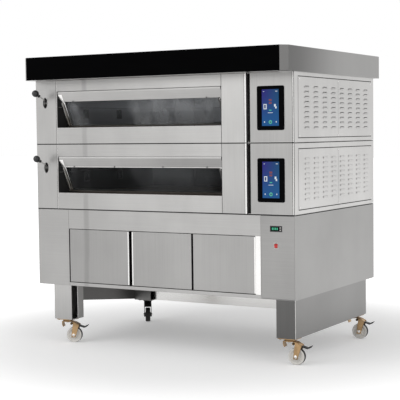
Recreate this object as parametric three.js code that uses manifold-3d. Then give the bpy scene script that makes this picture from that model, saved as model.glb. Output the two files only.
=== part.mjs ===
// Two-deck electric bakery oven on a heated proofer cabinet and a stand with four casters.
// Millimetres, +Z up. The front of the oven faces -Y and its control side is +X.
// Each sub-part is one closed mesh; turned groups carry the doors, levers and casters.

import * as THREE from "three";
import { mergeVertices } from "three/addons/utils/BufferGeometryUtils.js";
import Module from "manifold-3d";

const wasm = await Module();
wasm.setup();

// ---------------------------------------------------------------- driving dimensions

// Body
const BODY_WIDTH = 1600;
const BODY_DEPTH = 1041;
const SHEET = 2;
const RUN_GAP = 0.3;

// Stand
const WHEEL_RADIUS = 43;
const CASTER_HEADROOM = 49;
const CASTER_HEIGHT = 2 * WHEEL_RADIUS + CASTER_HEADROOM;
const STAND_HEIGHT = 193.5;
const LEG_DEPTH = 111;
const LEG_WIDTH = 118;
const LEFT_LEG_INSET = 103;
const RIGHT_LEG_WIDTH = 106.5;
const STAND_REAR_INSET = 119;
const STAND_DEPTH = BODY_DEPTH - STAND_REAR_INSET;
const LEG_SLOT_DEPTH = 51;
const MOUNT_PLATE = 4;
const TOP_FLANGE = 60;
const RAIL_DROP_FRONT = 105.5;
const RAIL_DROP_REAR = 188.5;
const REAR_PANEL_INSET = 77;
const REAR_PANEL_Y = STAND_DEPTH - REAR_PANEL_INSET;
const REAR_PANEL_LIFT = 2;

// Proofer cabinet
const PROOFER_HEIGHT = 424.3;
const PROOFER_LIP = 18.5;
const PROOFER_HEADER = 106.8;
const HEADER_DEPTH = 40;
const PROOFER_DOOR_DEPTH = 38;
const PROOFER_DOOR_GAP = 3;
const PROOFER_DOOR_RIM = 20;
const PROOFER_DOOR_WIDTHS = [393, 370.7, 366.5];
const PROOFER_DOOR_SPACES = [5, 20, 11.3, 31.5];
const PROOFER_HINGE_SIDES = ["left", "right", "left"];
const PROOFER_OPENING_LEFT = 212;
const PROOFER_CONTROL_WIDTH = 190;
const PROOFER_OPENING_RIGHT = BODY_WIDTH - PROOFER_CONTROL_WIDTH;

// Each door takes its share of what the spaces leave of the opening.
const total = (sizes) => sizes.reduce((sum, size) => sum + size, 0);
const DOOR_STRETCH = (PROOFER_OPENING_RIGHT - PROOFER_OPENING_LEFT - total(PROOFER_DOOR_SPACES))
  / total(PROOFER_DOOR_WIDTHS);
const PROOFER_DOOR_EDGES = PROOFER_DOOR_WIDTHS.map((width, index) => {
  const spaces = total(PROOFER_DOOR_SPACES.slice(0, index + 1));
  const doors = total(PROOFER_DOOR_WIDTHS.slice(0, index));
  const from = PROOFER_OPENING_LEFT + spaces + DOOR_STRETCH * doors;
  return [from, from + DOOR_STRETCH * width];
});
const PROOFER_HINGE_INSET = 8;
const PROOFER_PIN_RADIUS = 3;
const PROOFER_PIN_REACH = 4;
const CONTROL_COVER_GAP = 1.5;
const WATER_PAN = { width: 420, depth: 300, height: 45, fromRear: 661 };
const PROOFER_HEATER = { width: 900, depth: 260, rod: 5, bar: 14, lift: 30, fromRear: 341 };

// Proofer controls, placed from the right side of the body and the foot of the cabinet
const THERMOSTAT = { width: 68, height: 30.5, depth: 60, proud: 2.5, fromRight: 104, up: 357 };
const ROCKER = { width: 24, height: 30, depth: 30, proud: 2, fromRight: 104.5, up: 272 };
const ROCKER_BUTTON = { width: 17, height: 23, proud: 3.5, swing: 9, edge: 4, dip: 1.2, rear: 6 };
const ROCKER_PIVOT_Y = 5;
const ROCKER_PIN_RADIUS = 1.5;
const BEZEL_LAP = 2;

// Decks
const LOWER_DECK_HEIGHT = 360.6;
const UPPER_DECK_HEIGHT = 353.9;
const DECK_SEAM = 4;
const DECK_SEAM_INSET = 8;
const DECK_FOOT_WIDTH = 30;
const CONTROL_WIDTH = 260;
const OVEN_FRONT_WIDTH = BODY_WIDTH - CONTROL_WIDTH;
const OPENING_LEFT = 145;
const OPENING_RIGHT_MARGIN = 151;
const OPENING_WIDTH = OVEN_FRONT_WIDTH - OPENING_LEFT - OPENING_RIGHT_MARGIN;
const OPENING_SILL = 92;
const OPENING_HEAD = 54.9;
const OPENING_HEIGHT = UPPER_DECK_HEIGHT - OPENING_SILL - OPENING_HEAD;
const CONTROL_GAP = 15.5;
const CORNER_POST = 9.4;
const POST_DEPTH = 40;
const CHAMBER_REAR_SPACE = 66;
const CHAMBER_DEPTH = BODY_DEPTH - CHAMBER_REAR_SPACE;
const CHAMBER_PIT = 56;
const VENT = { width: 43, height: 48, up: 80, fromFront: 272, fromBack: 365 };
const INSULATION = 40;
const INSULATION_GAP = 1;
const STONE_THICKNESS = 20;
const STONE_DROP = 4;
const STONE_GAP = 3;
const LEDGE_WIDTH = 15;
const LEDGE_HEIGHT = 6;
const HEATER_ROD = 5;
const HEATER_BAR = 12;
const HEATER_ROD_COUNT = 6;
const HEATER_SIDE_GAP = 40;
const UPPER_HEATER_START = 260;
const LOWER_HEATER_START = 60;
const HEATER_BACK_GAP = 60;
const HEATER_DROP = 20;

// Glass door of a deck
const LEAF_INCLINE = 26;
const LEAF_HALF = 12;
const LEAF_LENGTH = OPENING_HEIGHT;
const LEAF_SIDE_GAP = 4;
const LEAF_HEAD_GAP = 1;
const LEAF_TOP_RAIL = 50;
const LEAF_STILE = 30;
const LEAF_BOTTOM_RAIL = 8;
const LEAF_GROOVE = 7;
const GLASS_THICKNESS = 5;
const LEAF_PIN_RADIUS = 5;
const LEAF_PIN_REACH = 3.5;

// Damper lever
const LEVER_FROM_LEFT = 64;
const LEVER_UP = 231;
const LEVER_SLOT_WIDTH = 24;
const LEVER_SLOT_HEIGHT = 52;
const LEVER_PIVOT_DEPTH = 30;
const LEVER_REST_ANGLE = 23.5;
const LEVER_ROD_RADIUS = 4;
const LEVER_ROD_LENGTH = 110;
const LEVER_HUB_RADIUS = 10;
const LEVER_HUB_WIDTH = 14;
const LEVER_PIN_RADIUS = 4;
const LEVER_BRACKET_GAP = 1;
const KNOB_RADIUS = 19;
const KNOB_NECK_RADIUS = 9;
const KNOB_NECK_LENGTH = 24;
const KNOB_BORE_DEPTH = 18;

// Deck controls and covers
const SCREEN = { width: 151, height: 221, proud: 3, depth: 22, fromLeft: 39.5, up: 65, corner: 9 };
const SCREEN_LAP = 5;
const CONTROL_PANEL_FOLD = 28;
const LOUVRE = { front: 45, rear: 34, bottom: 27, gap: 1.5, proud: 1 };
const LOUVRE_TOP_INSET = { lower: 30, upper: 23.3 };
const LOUVRE_LAP = 10;
const LOUVRE_SLOT = { columns: 8, rows: 9, width: 48, height: 8 };
const LOUVRE_FIRST = { y: 147, up: 77 };
const LOUVRE_LAST = { fromRear: 117, fromTop: 48.8 };
const REAR_COVER_GAP = 2;

// Canopy
const CANOPY_HEIGHT = 124.6;
const CANOPY_FRONT = 113.6;
const CANOPY_SIDE = 10.7;
const CANOPY_REAR = 63;
const CANOPY_CHAMFER = 34;
const CANOPY_RIM = 90;

// Casters
const WHEEL_WIDTH = 30;
const WHEEL_WEB_DEPTH = 5;
const WHEEL_RIM = { web: 12, shoulder: 9, tread: 4 };
const HUB_WIDTH = 36;
const HUB_RADIUS = 14;
const AXLE_RADIUS = 6;
const FORK_INNER = 38;
const FORK_SHEET = 4;
const FORK_BOSS = 13;
const FORK_BACK = 30;
const FORK_CROWN = 24;
const FORK_BROW = { reach: 30, top: 25, foot: 33 };
const FORK_SHOULDER = 6;
const FORK_HEEL = { x: 8, up: 30 };
const FORK_AXLE_END = 4;
const FORK_WHEEL_ROOM = 5;
const TRAIL = 38;
const PLATE = { width: 100, depth: 85, thickness: 4 };
const RACE_RADIUS = 27;
const RACE_HEIGHT = 10;
const KINGPIN_RADIUS = 6;
const KINGPIN_HEAD_RADIUS = 11;
const KINGPIN_HEAD = 4;
const PEDAL = { width: 28, sheet: 4, pivotX: 22, pivotDrop: 29, pinRadius: 3, barrel: 4 };
const PEDAL_BEND = { x: 95, z: -45 };
const PEDAL_TIP = { x: 120, z: -34 };
const FRONT_CASTER_Y = 42;
const REAR_CASTER_INSET = 52;
const REAR_CASTER_Y = STAND_DEPTH - REAR_CASTER_INSET;
const CASTERS = [
  { name: "front_left", side: "left", y: FRONT_CASTER_Y, turn: 22, brake: true },
  { name: "front_right", side: "right", y: FRONT_CASTER_Y, turn: 8, brake: true },
  { name: "rear_left", side: "left", y: REAR_CASTER_Y, turn: -57, brake: false },
  { name: "rear_right", side: "right", y: REAR_CASTER_Y, turn: 5, brake: true },
];

// Levels and sides that follow from the sizes above
const LEFT = -BODY_WIDTH / 2;
const RIGHT = BODY_WIDTH / 2;
const STAND_Z = CASTER_HEIGHT;
const PROOFER_Z = STAND_Z + STAND_HEIGHT;
const LOWER_DECK_Z = PROOFER_Z + PROOFER_HEIGHT;
const UPPER_DECK_Z = LOWER_DECK_Z + LOWER_DECK_HEIGHT;
const CANOPY_Z = UPPER_DECK_Z + UPPER_DECK_HEIGHT;
const OPENING_X0 = LEFT + OPENING_LEFT;
const OPENING_X1 = OPENING_X0 + OPENING_WIDTH;
const LEVER_X = LEFT + LEVER_FROM_LEFT;

// ---------------------------------------------------------------- materials

const metal = (color, roughness) =>
  new THREE.MeshStandardMaterial({ color, roughness, metalness: 0.9 });
const plastic = (color, roughness) =>
  new THREE.MeshStandardMaterial({ color, roughness, metalness: 0 });

const MATERIALS = {
  steel: () => metal(0xbfbcb8, 0.38),
  darkSteel: () => metal(0x6f6b68, 0.45),
  brightSteel: () => metal(0xe0dedb, 0.22),
  blackGloss: () => plastic(0x0b0b0c, 0.12),
  blackPlastic: () => plastic(0x141414, 0.45),
  stone: () => plastic(0x8e857a, 0.9),
  wool: () => plastic(0xb6a25a, 1),
  element: () => metal(0x4a4440, 0.6),
  glass: () =>
    new THREE.MeshStandardMaterial({ color: 0x9fb0b0, roughness: 0.05, transparent: true, opacity: 0.35 }),
  zinc: () => metal(0xb58a58, 0.35),
  nylon: () => plastic(0xeceae6, 0.5),
  blackRubber: () => plastic(0x161616, 0.8),
  paleFrame: () => plastic(0xe3e0dc, 0.4),
  redPlastic: () => plastic(0xc01818, 0.3),
};

// ---------------------------------------------------------------- solids

function toSolid(geometry) {
  const bare = geometry.clone();
  bare.deleteAttribute("normal");
  bare.deleteAttribute("uv");
  const merged = mergeVertices(bare, 1e-4);
  return new wasm.Manifold(new wasm.Mesh({
    numProp: 3,
    vertProperties: new Float32Array(merged.attributes.position.array),
    triVerts: new Uint32Array(merged.index.array),
  }));
}

function toGeometry(solid) {
  const mesh = solid.getMesh();
  const geometry = new THREE.BufferGeometry();
  geometry.setAttribute("position", new THREE.BufferAttribute(mesh.vertProperties, 3));
  geometry.setIndex(new THREE.BufferAttribute(mesh.triVerts, 1));
  geometry.computeVertexNormals();
  return geometry;
}

function boxSolid(x0, x1, y0, y1, z0, z1) {
  const geometry = new THREE.BoxGeometry(x1 - x0, y1 - y0, z1 - z0);
  geometry.translate((x0 + x1) / 2, (y0 + y1) / 2, (z0 + z1) / 2);
  return toSolid(geometry);
}

// A cylinder whose axis runs along x, y or z through the centre given.
function rodSolid(axis, radius, length, centre, segments = 16) {
  const geometry = new THREE.CylinderGeometry(radius, radius, length, segments);
  if (axis === "x") geometry.rotateZ(Math.PI / 2);
  if (axis === "z") geometry.rotateX(Math.PI / 2);
  geometry.translate(centre[0], centre[1], centre[2]);
  return toSolid(geometry);
}

// A flat outline in x and z, given thickness along +Y from y0.
function profileSolid(points, y0, thickness) {
  const shape = new THREE.Shape(points.map(([x, z]) => new THREE.Vector2(x, z)));
  const geometry = new THREE.ExtrudeGeometry(shape, { depth: thickness, bevelEnabled: false });
  geometry.rotateX(Math.PI / 2);
  geometry.translate(0, y0 + thickness, 0);
  return toSolid(geometry);
}

function union(solids) {
  return solids.reduce((whole, solid) => whole.add(solid));
}

function cut(solid, tools) {
  return tools.reduce((rest, tool) => rest.subtract(tool), solid);
}

function part(name, solid, material) {
  const mesh = new THREE.Mesh(toGeometry(solid), MATERIALS[material]());
  mesh.name = name;
  return mesh;
}

const oven = new THREE.Group();

// ---------------------------------------------------------------- stand

// A leg folded from sheet: closed at the front, back and outer side, half open inside.
function legSolid(x0, x1, y0, inner) {
  const y1 = y0 + LEG_DEPTH;
  const z0 = STAND_Z;
  const z1 = STAND_Z + STAND_HEIGHT;
  const shell = boxSolid(x0, x1, y0, y1, z0, z1);
  const hollow = boxSolid(x0 + SHEET, x1 - SHEET, y0 + SHEET, y1 - SHEET, z0 + MOUNT_PLATE, z1 - SHEET);
  const wallX = inner > 0 ? x1 - SHEET : x0;
  const slot = boxSolid(
    wallX - 1, wallX + SHEET + 1, y0 + SHEET, y0 + SHEET + LEG_SLOT_DEPTH, z0 + MOUNT_PLATE, z1 - SHEET);
  return cut(shell, [hollow, slot]);
}

const LEFT_LEG_X0 = LEFT + LEFT_LEG_INSET;
const LEFT_LEG_X1 = LEFT_LEG_X0 + LEG_WIDTH;
const RIGHT_LEG_X0 = RIGHT - RIGHT_LEG_WIDTH;
const REAR_LEG_Y = STAND_DEPTH - LEG_DEPTH;
const STAND_TOP = STAND_Z + STAND_HEIGHT;

function buildStand() {
  oven.add(part("left_front_leg", legSolid(LEFT_LEG_X0, LEFT_LEG_X1, 0, 1), "steel"));
  oven.add(part("left_rear_leg", legSolid(LEFT_LEG_X0, LEFT_LEG_X1, REAR_LEG_Y, 1), "darkSteel"));

  const side = boxSolid(RIGHT - SHEET, RIGHT, 0, STAND_DEPTH, STAND_Z, STAND_TOP);
  const flange = boxSolid(RIGHT - TOP_FLANGE, RIGHT, 0, STAND_DEPTH, STAND_TOP - SHEET, STAND_TOP);
  const legs = [0, REAR_LEG_Y].map((y) => legSolid(RIGHT_LEG_X0, RIGHT, y, -1));
  oven.add(part("right_side_frame", union([side, flange, ...legs]), "steel"));

  // The rail is a plate whose lower edge runs down towards the rear leg.
  const shape = new THREE.Shape([
    new THREE.Vector2(LEG_DEPTH, STAND_TOP - RAIL_DROP_FRONT),
    new THREE.Vector2(REAR_LEG_Y, STAND_TOP - RAIL_DROP_REAR),
    new THREE.Vector2(REAR_LEG_Y, STAND_TOP),
    new THREE.Vector2(LEG_DEPTH, STAND_TOP),
  ]);
  const web = new THREE.ExtrudeGeometry(shape, { depth: SHEET, bevelEnabled: false });
  web.rotateX(Math.PI / 2);
  web.rotateZ(Math.PI / 2);
  web.translate(LEFT_LEG_X0, 0, 0);
  const lip = boxSolid(
    LEFT_LEG_X0, LEFT_LEG_X0 + TOP_FLANGE, LEG_DEPTH, REAR_LEG_Y, STAND_TOP - SHEET, STAND_TOP);
  oven.add(part("left_side_rail", toSolid(web).add(lip), "darkSteel"));

  const panel = boxSolid(
    LEFT_LEG_X1, RIGHT_LEG_X0, REAR_PANEL_Y, REAR_PANEL_Y + SHEET,
    STAND_Z + REAR_PANEL_LIFT, STAND_TOP);
  const panelLip = boxSolid(
    LEFT_LEG_X1, RIGHT_LEG_X0, REAR_PANEL_Y, REAR_PANEL_Y + TOP_FLANGE, STAND_TOP - SHEET, STAND_TOP);
  oven.add(part("rear_panel", panel.add(panelLip), "brightSteel"));
}

// ---------------------------------------------------------------- casters

// Caster pieces are drawn about the swivel axis, with z = 0 at the top of the plate and
// the wheel trailing along +X.
const AXLE_Z = WHEEL_RADIUS - CASTER_HEIGHT;
const FORK_TOP = -PLATE.thickness - RACE_HEIGHT - RUN_GAP;

function plateSolid() {
  const plate = boxSolid(
    -PLATE.width / 2, PLATE.width / 2, -PLATE.depth / 2, PLATE.depth / 2, -PLATE.thickness, 0);
  const race = rodSolid("z", RACE_RADIUS, RACE_HEIGHT, [0, 0, -PLATE.thickness - RACE_HEIGHT / 2], 28);
  const pinLength = RACE_HEIGHT + FORK_SHEET + 2 * RUN_GAP + KINGPIN_HEAD;
  const pin = rodSolid("z", KINGPIN_RADIUS, pinLength, [0, 0, -PLATE.thickness - pinLength / 2], 20);
  const headZ = FORK_TOP - FORK_SHEET - RUN_GAP - KINGPIN_HEAD / 2;
  const head = rodSolid("z", KINGPIN_HEAD_RADIUS, KINGPIN_HEAD, [0, 0, headZ], 20);
  return union([plate, race, pin, head]);
}

function forkSolid(brake) {
  const outer = FORK_INNER / 2 + FORK_SHEET;
  const brow = TRAIL + FORK_BROW.reach;
  const side = [
    [-FORK_BACK, FORK_TOP], [FORK_CROWN, FORK_TOP],
    [brow, FORK_TOP - FORK_BROW.top], [brow, FORK_TOP - FORK_BROW.foot],
    [TRAIL + 4, AXLE_Z + WHEEL_RADIUS - 2], [TRAIL + 2, AXLE_Z + FORK_BOSS],
    [TRAIL - 2, AXLE_Z], [TRAIL - FORK_BOSS, AXLE_Z],
    [-FORK_HEEL.x, AXLE_Z + FORK_HEEL.up], [-FORK_BACK, FORK_TOP - FORK_SHOULDER],
  ];
  const body = profileSolid(side, -outer, 2 * outer);
  const boss = rodSolid("y", FORK_BOSS, 2 * outer, [TRAIL, 0, AXLE_Z], 20);
  const inside = boxSolid(
    -FORK_BACK + FORK_SHEET, TRAIL + 2 * FORK_BROW.reach, -FORK_INNER / 2, FORK_INNER / 2,
    AXLE_Z - 2 * FORK_BOSS, FORK_TOP - FORK_SHEET);
  const wheelRoom = rodSolid("y", WHEEL_RADIUS + FORK_WHEEL_ROOM, FORK_INNER, [TRAIL, 0, AXLE_Z], 28);
  const bore = rodSolid("z", KINGPIN_RADIUS + RUN_GAP, 60, [0, 0, FORK_TOP], 20);
  const axle = rodSolid("y", AXLE_RADIUS, 2 * (outer + FORK_AXLE_END), [TRAIL, 0, AXLE_Z], 20);
  const shell = cut(body.add(boss), [inside, wheelRoom, bore]);
  const pieces = [shell, axle];
  if (brake) {
    pieces.push(rodSolid(
      "y", PEDAL.pinRadius, 2 * outer, [PEDAL.pivotX, 0, -PEDAL.pivotDrop], 14));
  }
  return union(pieces);
}

// The wheel's rim stands out from a recessed web, and its hub reaches the fork sides.
function wheelSolid() {
  const half = WHEEL_WIDTH / 2;
  const web = half - WHEEL_WEB_DEPTH;
  const bore = AXLE_RADIUS + RUN_GAP;
  const right = [
    [bore, HUB_WIDTH / 2], [HUB_RADIUS, HUB_WIDTH / 2], [HUB_RADIUS + 1, web],
    [WHEEL_RADIUS - WHEEL_RIM.web, web], [WHEEL_RADIUS - WHEEL_RIM.shoulder, half],
    [WHEEL_RADIUS - WHEEL_RIM.tread, half], [WHEEL_RADIUS, half - WHEEL_RIM.tread],
  ];
  const left = right.map(([radius, y]) => [radius, -y]).reverse();
  const outline = [...right, ...left, right[0]].map(([radius, y]) => new THREE.Vector2(radius, y));
  const geometry = new THREE.LatheGeometry(outline.reverse(), 30);
  geometry.translate(TRAIL, 0, AXLE_Z);
  // The lathe turns about Y, which is the axle here; its place is given in x and z.
  return toSolid(geometry);
}

function pedalSolid() {
  const { pivotX, pivotDrop, sheet } = PEDAL;
  const heel = pivotX - PEDAL.barrel;
  const top = [
    [heel, -pivotDrop + 5], [pivotX + 10, -pivotDrop + 2],
    [PEDAL_BEND.x, PEDAL_BEND.z], [PEDAL_TIP.x, PEDAL_TIP.z],
  ];
  const bottom = top.map(([x, z]) => [x, z - sheet]).reverse();
  bottom[bottom.length - 1] = [heel, -pivotDrop - 5];
  const bar = profileSolid([...top, ...bottom], -PEDAL.width / 2, PEDAL.width);
  const barrel = rodSolid("y", PEDAL.pinRadius + PEDAL.barrel, PEDAL.width, [pivotX, 0, -pivotDrop], 18);
  const bore = rodSolid("y", PEDAL.pinRadius + RUN_GAP, PEDAL.width + 2, [pivotX, 0, -pivotDrop], 18);
  return cut(bar.add(barrel), [bore]);
}

function buildCasters() {
  const leftX = (LEFT_LEG_X0 + LEFT_LEG_X1) / 2;
  const rightX = (RIGHT_LEG_X0 + RIGHT) / 2;
  for (const { name, side, y, turn, brake } of CASTERS) {
    const station = new THREE.Group();
    station.position.set(side === "left" ? leftX : rightX, y, CASTER_HEIGHT);
    station.add(part(`${name}_caster_plate`, plateSolid(), "zinc"));
    const swivel = new THREE.Group();
    swivel.rotation.z = THREE.MathUtils.degToRad(turn);
    swivel.add(part(`${name}_caster_fork`, forkSolid(brake), brake ? "zinc" : "blackPlastic"));
    swivel.add(part(`${name}_wheel`, wheelSolid(), brake ? "nylon" : "blackRubber"));
    if (brake) swivel.add(part(`${name}_brake_pedal`, pedalSolid(), "blackPlastic"));
    station.add(swivel);
    oven.add(station);
  }
}

// ---------------------------------------------------------------- proofer cabinet

const PROOFER_TOP = PROOFER_Z + PROOFER_HEIGHT;
const PROOFER_DOOR_Z0 = PROOFER_Z + PROOFER_LIP + PROOFER_DOOR_GAP;
const PROOFER_DOOR_Z1 = PROOFER_TOP - PROOFER_HEADER - PROOFER_DOOR_GAP;
const BAY_X = LEFT + PROOFER_OPENING_RIGHT;

function hingeX(index) {
  const [from, to] = PROOFER_DOOR_EDGES[index];
  const side = PROOFER_HINGE_SIDES[index];
  return LEFT + (side === "left" ? from + PROOFER_HINGE_INSET : to - PROOFER_HINGE_INSET);
}

function cabinetSolid() {
  const shell = boxSolid(LEFT, RIGHT, 0, BODY_DEPTH, PROOFER_Z, PROOFER_TOP);
  const chamber = boxSolid(
    LEFT + SHEET, BAY_X, SHEET, BODY_DEPTH - SHEET, PROOFER_Z + SHEET, PROOFER_TOP - SHEET);
  const bay = boxSolid(
    BAY_X + SHEET, RIGHT - SHEET, -1, BODY_DEPTH - SHEET, PROOFER_Z + SHEET, PROOFER_TOP - SHEET);
  const lipTop = PROOFER_Z + PROOFER_LIP;
  const headerFoot = PROOFER_TOP - PROOFER_HEADER;
  const opening = boxSolid(LEFT + PROOFER_OPENING_LEFT, BAY_X, -1, SHEET + 1, lipTop, headerFoot);
  const header = boxSolid(LEFT + SHEET, BAY_X, 0, HEADER_DEPTH, headerFoot, headerFoot + SHEET);
  const lip = boxSolid(LEFT + SHEET, BAY_X, 0, HEADER_DEPTH, lipTop - SHEET, lipTop);
  const jamb = boxSolid(
    LEFT + PROOFER_OPENING_LEFT - SHEET, LEFT + PROOFER_OPENING_LEFT, 0, HEADER_DEPTH, lipTop, headerFoot);
  const holes = PROOFER_DOOR_EDGES.map((edges, index) => rodSolid(
    "z", PROOFER_PIN_RADIUS + RUN_GAP, PROOFER_HEIGHT,
    [hingeX(index), PROOFER_HINGE_INSET, (lipTop + headerFoot) / 2], 16));
  const keep = boxSolid(LEFT, RIGHT, 0, BODY_DEPTH, lipTop - SHEET, headerFoot + SHEET);
  const frame = union([cut(shell, [chamber, bay, opening]), header, lip, jamb]);
  return cut(frame, holes.map((hole) => hole.intersect(keep)));
}

// A door is a pan folded from sheet, open at the back, with a pin at the top and the foot.
function prooferDoorSolid(index) {
  const [from, to] = PROOFER_DOOR_EDGES[index];
  const x0 = LEFT + from;
  const x1 = LEFT + to;
  const depth = PROOFER_DOOR_DEPTH;
  const pan = boxSolid(x0, x1, 0, depth, PROOFER_DOOR_Z0, PROOFER_DOOR_Z1);
  const inside = boxSolid(
    x0 + SHEET, x1 - SHEET, SHEET, depth - SHEET, PROOFER_DOOR_Z0 + SHEET, PROOFER_DOOR_Z1 - SHEET);
  const rim = PROOFER_DOOR_RIM;
  const back = boxSolid(
    x0 + rim, x1 - rim, depth - SHEET - 1, depth + 1, PROOFER_DOOR_Z0 + rim, PROOFER_DOOR_Z1 - rim);
  const pins = [PROOFER_DOOR_Z0, PROOFER_DOOR_Z1].map((z) => rodSolid(
    "z", PROOFER_PIN_RADIUS, 2 * PROOFER_PIN_REACH, [hingeX(index), PROOFER_HINGE_INSET, z], 16));
  return union([cut(pan, [inside, back]), ...pins]);
}

function prooferHeaterSolid() {
  const { width, depth, rod, bar, lift, fromRear } = PROOFER_HEATER;
  const y = BODY_DEPTH - fromRear;
  const x = (LEFT + BAY_X) / 2;
  const z = PROOFER_Z + SHEET;
  const rods = [-0.5, 0, 0.5].map((share) => rodSolid(
    "x", rod, width, [x, y + share * (depth - bar), z + lift], 10));
  const bars = [-1, 1].map((side) => boxSolid(
    x + side * width / 2 - bar / 2, x + side * width / 2 + bar / 2,
    y - depth / 2, y + depth / 2, z, z + lift + bar / 2));
  return union([...rods, ...bars]);
}

function waterPanSolid() {
  const { width, depth, height, fromRear } = WATER_PAN;
  const y = BODY_DEPTH - fromRear;
  const x = (LEFT + BAY_X) / 2;
  const z = PROOFER_Z + SHEET;
  const pan = boxSolid(x - width / 2, x + width / 2, y - depth / 2, y + depth / 2, z, z + height);
  const inside = boxSolid(
    x - width / 2 + SHEET, x + width / 2 - SHEET, y - depth / 2 + SHEET, y + depth / 2 - SHEET,
    z + SHEET, z + height + 1);
  return cut(pan, [inside]);
}

function buildProofer() {
  oven.add(part("proofer_cabinet", cabinetSolid(), "steel"));
  ["left", "centre", "right"].forEach((place, index) => {
    oven.add(part(`proofer_door_${place}`, prooferDoorSolid(index), "steel"));
  });
  oven.add(part("proofer_heater", prooferHeaterSolid(), "element"));
  oven.add(part("water_pan", waterPanSolid(), "brightSteel"));

  // The cover's two ends are folded back against the cabinet's partition and side.
  const coverX0 = BAY_X + SHEET;
  const coverX1 = RIGHT - SHEET;
  const coverZ0 = PROOFER_Z + SHEET + CONTROL_COVER_GAP;
  const coverZ1 = PROOFER_TOP - SHEET - CONTROL_COVER_GAP;
  const face = boxSolid(coverX0, coverX1, 0, SHEET, coverZ0, coverZ1);
  const folds = [coverX0, coverX1 - SHEET].map((x) => boxSolid(
    x, x + SHEET, 0, HEADER_DEPTH, coverZ0, coverZ1));
  const place = (item) => ({ x: RIGHT - item.fromRight, z: PROOFER_Z + item.up });
  const window = (item) => {
    const { x, z } = place(item);
    const w = item.width / 2 - BEZEL_LAP;
    const h = item.height / 2 - BEZEL_LAP;
    return boxSolid(x - w, x + w, -1, SHEET + 1, z - h, z + h);
  };
  const cover = cut(union([face, ...folds]), [window(THERMOSTAT), window(ROCKER)]);
  oven.add(part("proofer_control_cover", cover, "steel"));

  const unit = (item, gap) => {
    const { x, z } = place(item);
    const bezel = boxSolid(
      x - item.width / 2, x + item.width / 2, -item.proud, 0, z - item.height / 2, z + item.height / 2);
    const w = item.width / 2 - BEZEL_LAP - gap;
    const h = item.height / 2 - BEZEL_LAP - gap;
    return bezel.add(boxSolid(x - w, x + w, 0, item.depth, z - h, z + h));
  };
  oven.add(part("thermostat", unit(THERMOSTAT, RUN_GAP), "blackGloss"));

  const { x, z } = place(ROCKER);
  const half = { x: ROCKER_BUTTON.width / 2, z: ROCKER_BUTTON.height / 2 };
  const room = boxSolid(
    x - half.x - RUN_GAP, x + half.x + RUN_GAP, -ROCKER.proud - 1, ROCKER.depth - 8,
    z - half.z - RUN_GAP, z + half.z + RUN_GAP);
  const pin = rodSolid("x", ROCKER_PIN_RADIUS, ROCKER.width - 5, [x, ROCKER_PIVOT_Y, z], 12);
  oven.add(part("rocker_housing", cut(unit(ROCKER, RUN_GAP), [room]).add(pin), "paleFrame"));
  oven.add(rockerButton(x, z, half));
}

// The button rocks about a pin across its middle; it rests with its lower half pressed in.
function rockerButton(x, z, half) {
  const front = -ROCKER.proud - ROCKER_BUTTON.proud;
  const shoulder = front + ROCKER_BUTTON.edge;
  const rear = ROCKER_PIVOT_Y + ROCKER_BUTTON.rear;
  const outline = [
    [front, half.z * 0.62], [shoulder, half.z * 0.9], [rear, half.z * 0.75],
    [rear, -half.z * 0.75], [shoulder, -half.z * 0.9], [front, -half.z * 0.62],
    [front + ROCKER_BUTTON.dip, 0],
  ];
  const shape = new THREE.Shape(outline.map(([y, up]) => new THREE.Vector2(y, up)));
  const geometry = new THREE.ExtrudeGeometry(shape, { depth: 2 * half.x, bevelEnabled: false });
  geometry.rotateX(Math.PI / 2);
  geometry.rotateZ(Math.PI / 2);
  const body = centred(toSolid(geometry));
  const bore = rodSolid("x", ROCKER_PIN_RADIUS + RUN_GAP, 4 * half.x, [0, ROCKER_PIVOT_Y, 0], 12);
  const mesh = part("rocker_button", cut(body, [bore]), "redPlastic");
  const hinge = new THREE.Group();
  mesh.position.y = -ROCKER_PIVOT_Y;
  hinge.position.set(x, ROCKER_PIVOT_Y, z);
  hinge.rotation.x = THREE.MathUtils.degToRad(ROCKER_BUTTON.swing);
  hinge.add(mesh);
  return hinge;
}

// Moves a solid along X until it is centred on x = 0.
function centred(solid) {
  const box = solid.boundingBox();
  return solid.translate([-(box.min[0] + box.max[0]) / 2, 0, 0]);
}

buildStand();
buildCasters();
buildProofer();

// ---------------------------------------------------------------- decks

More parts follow.
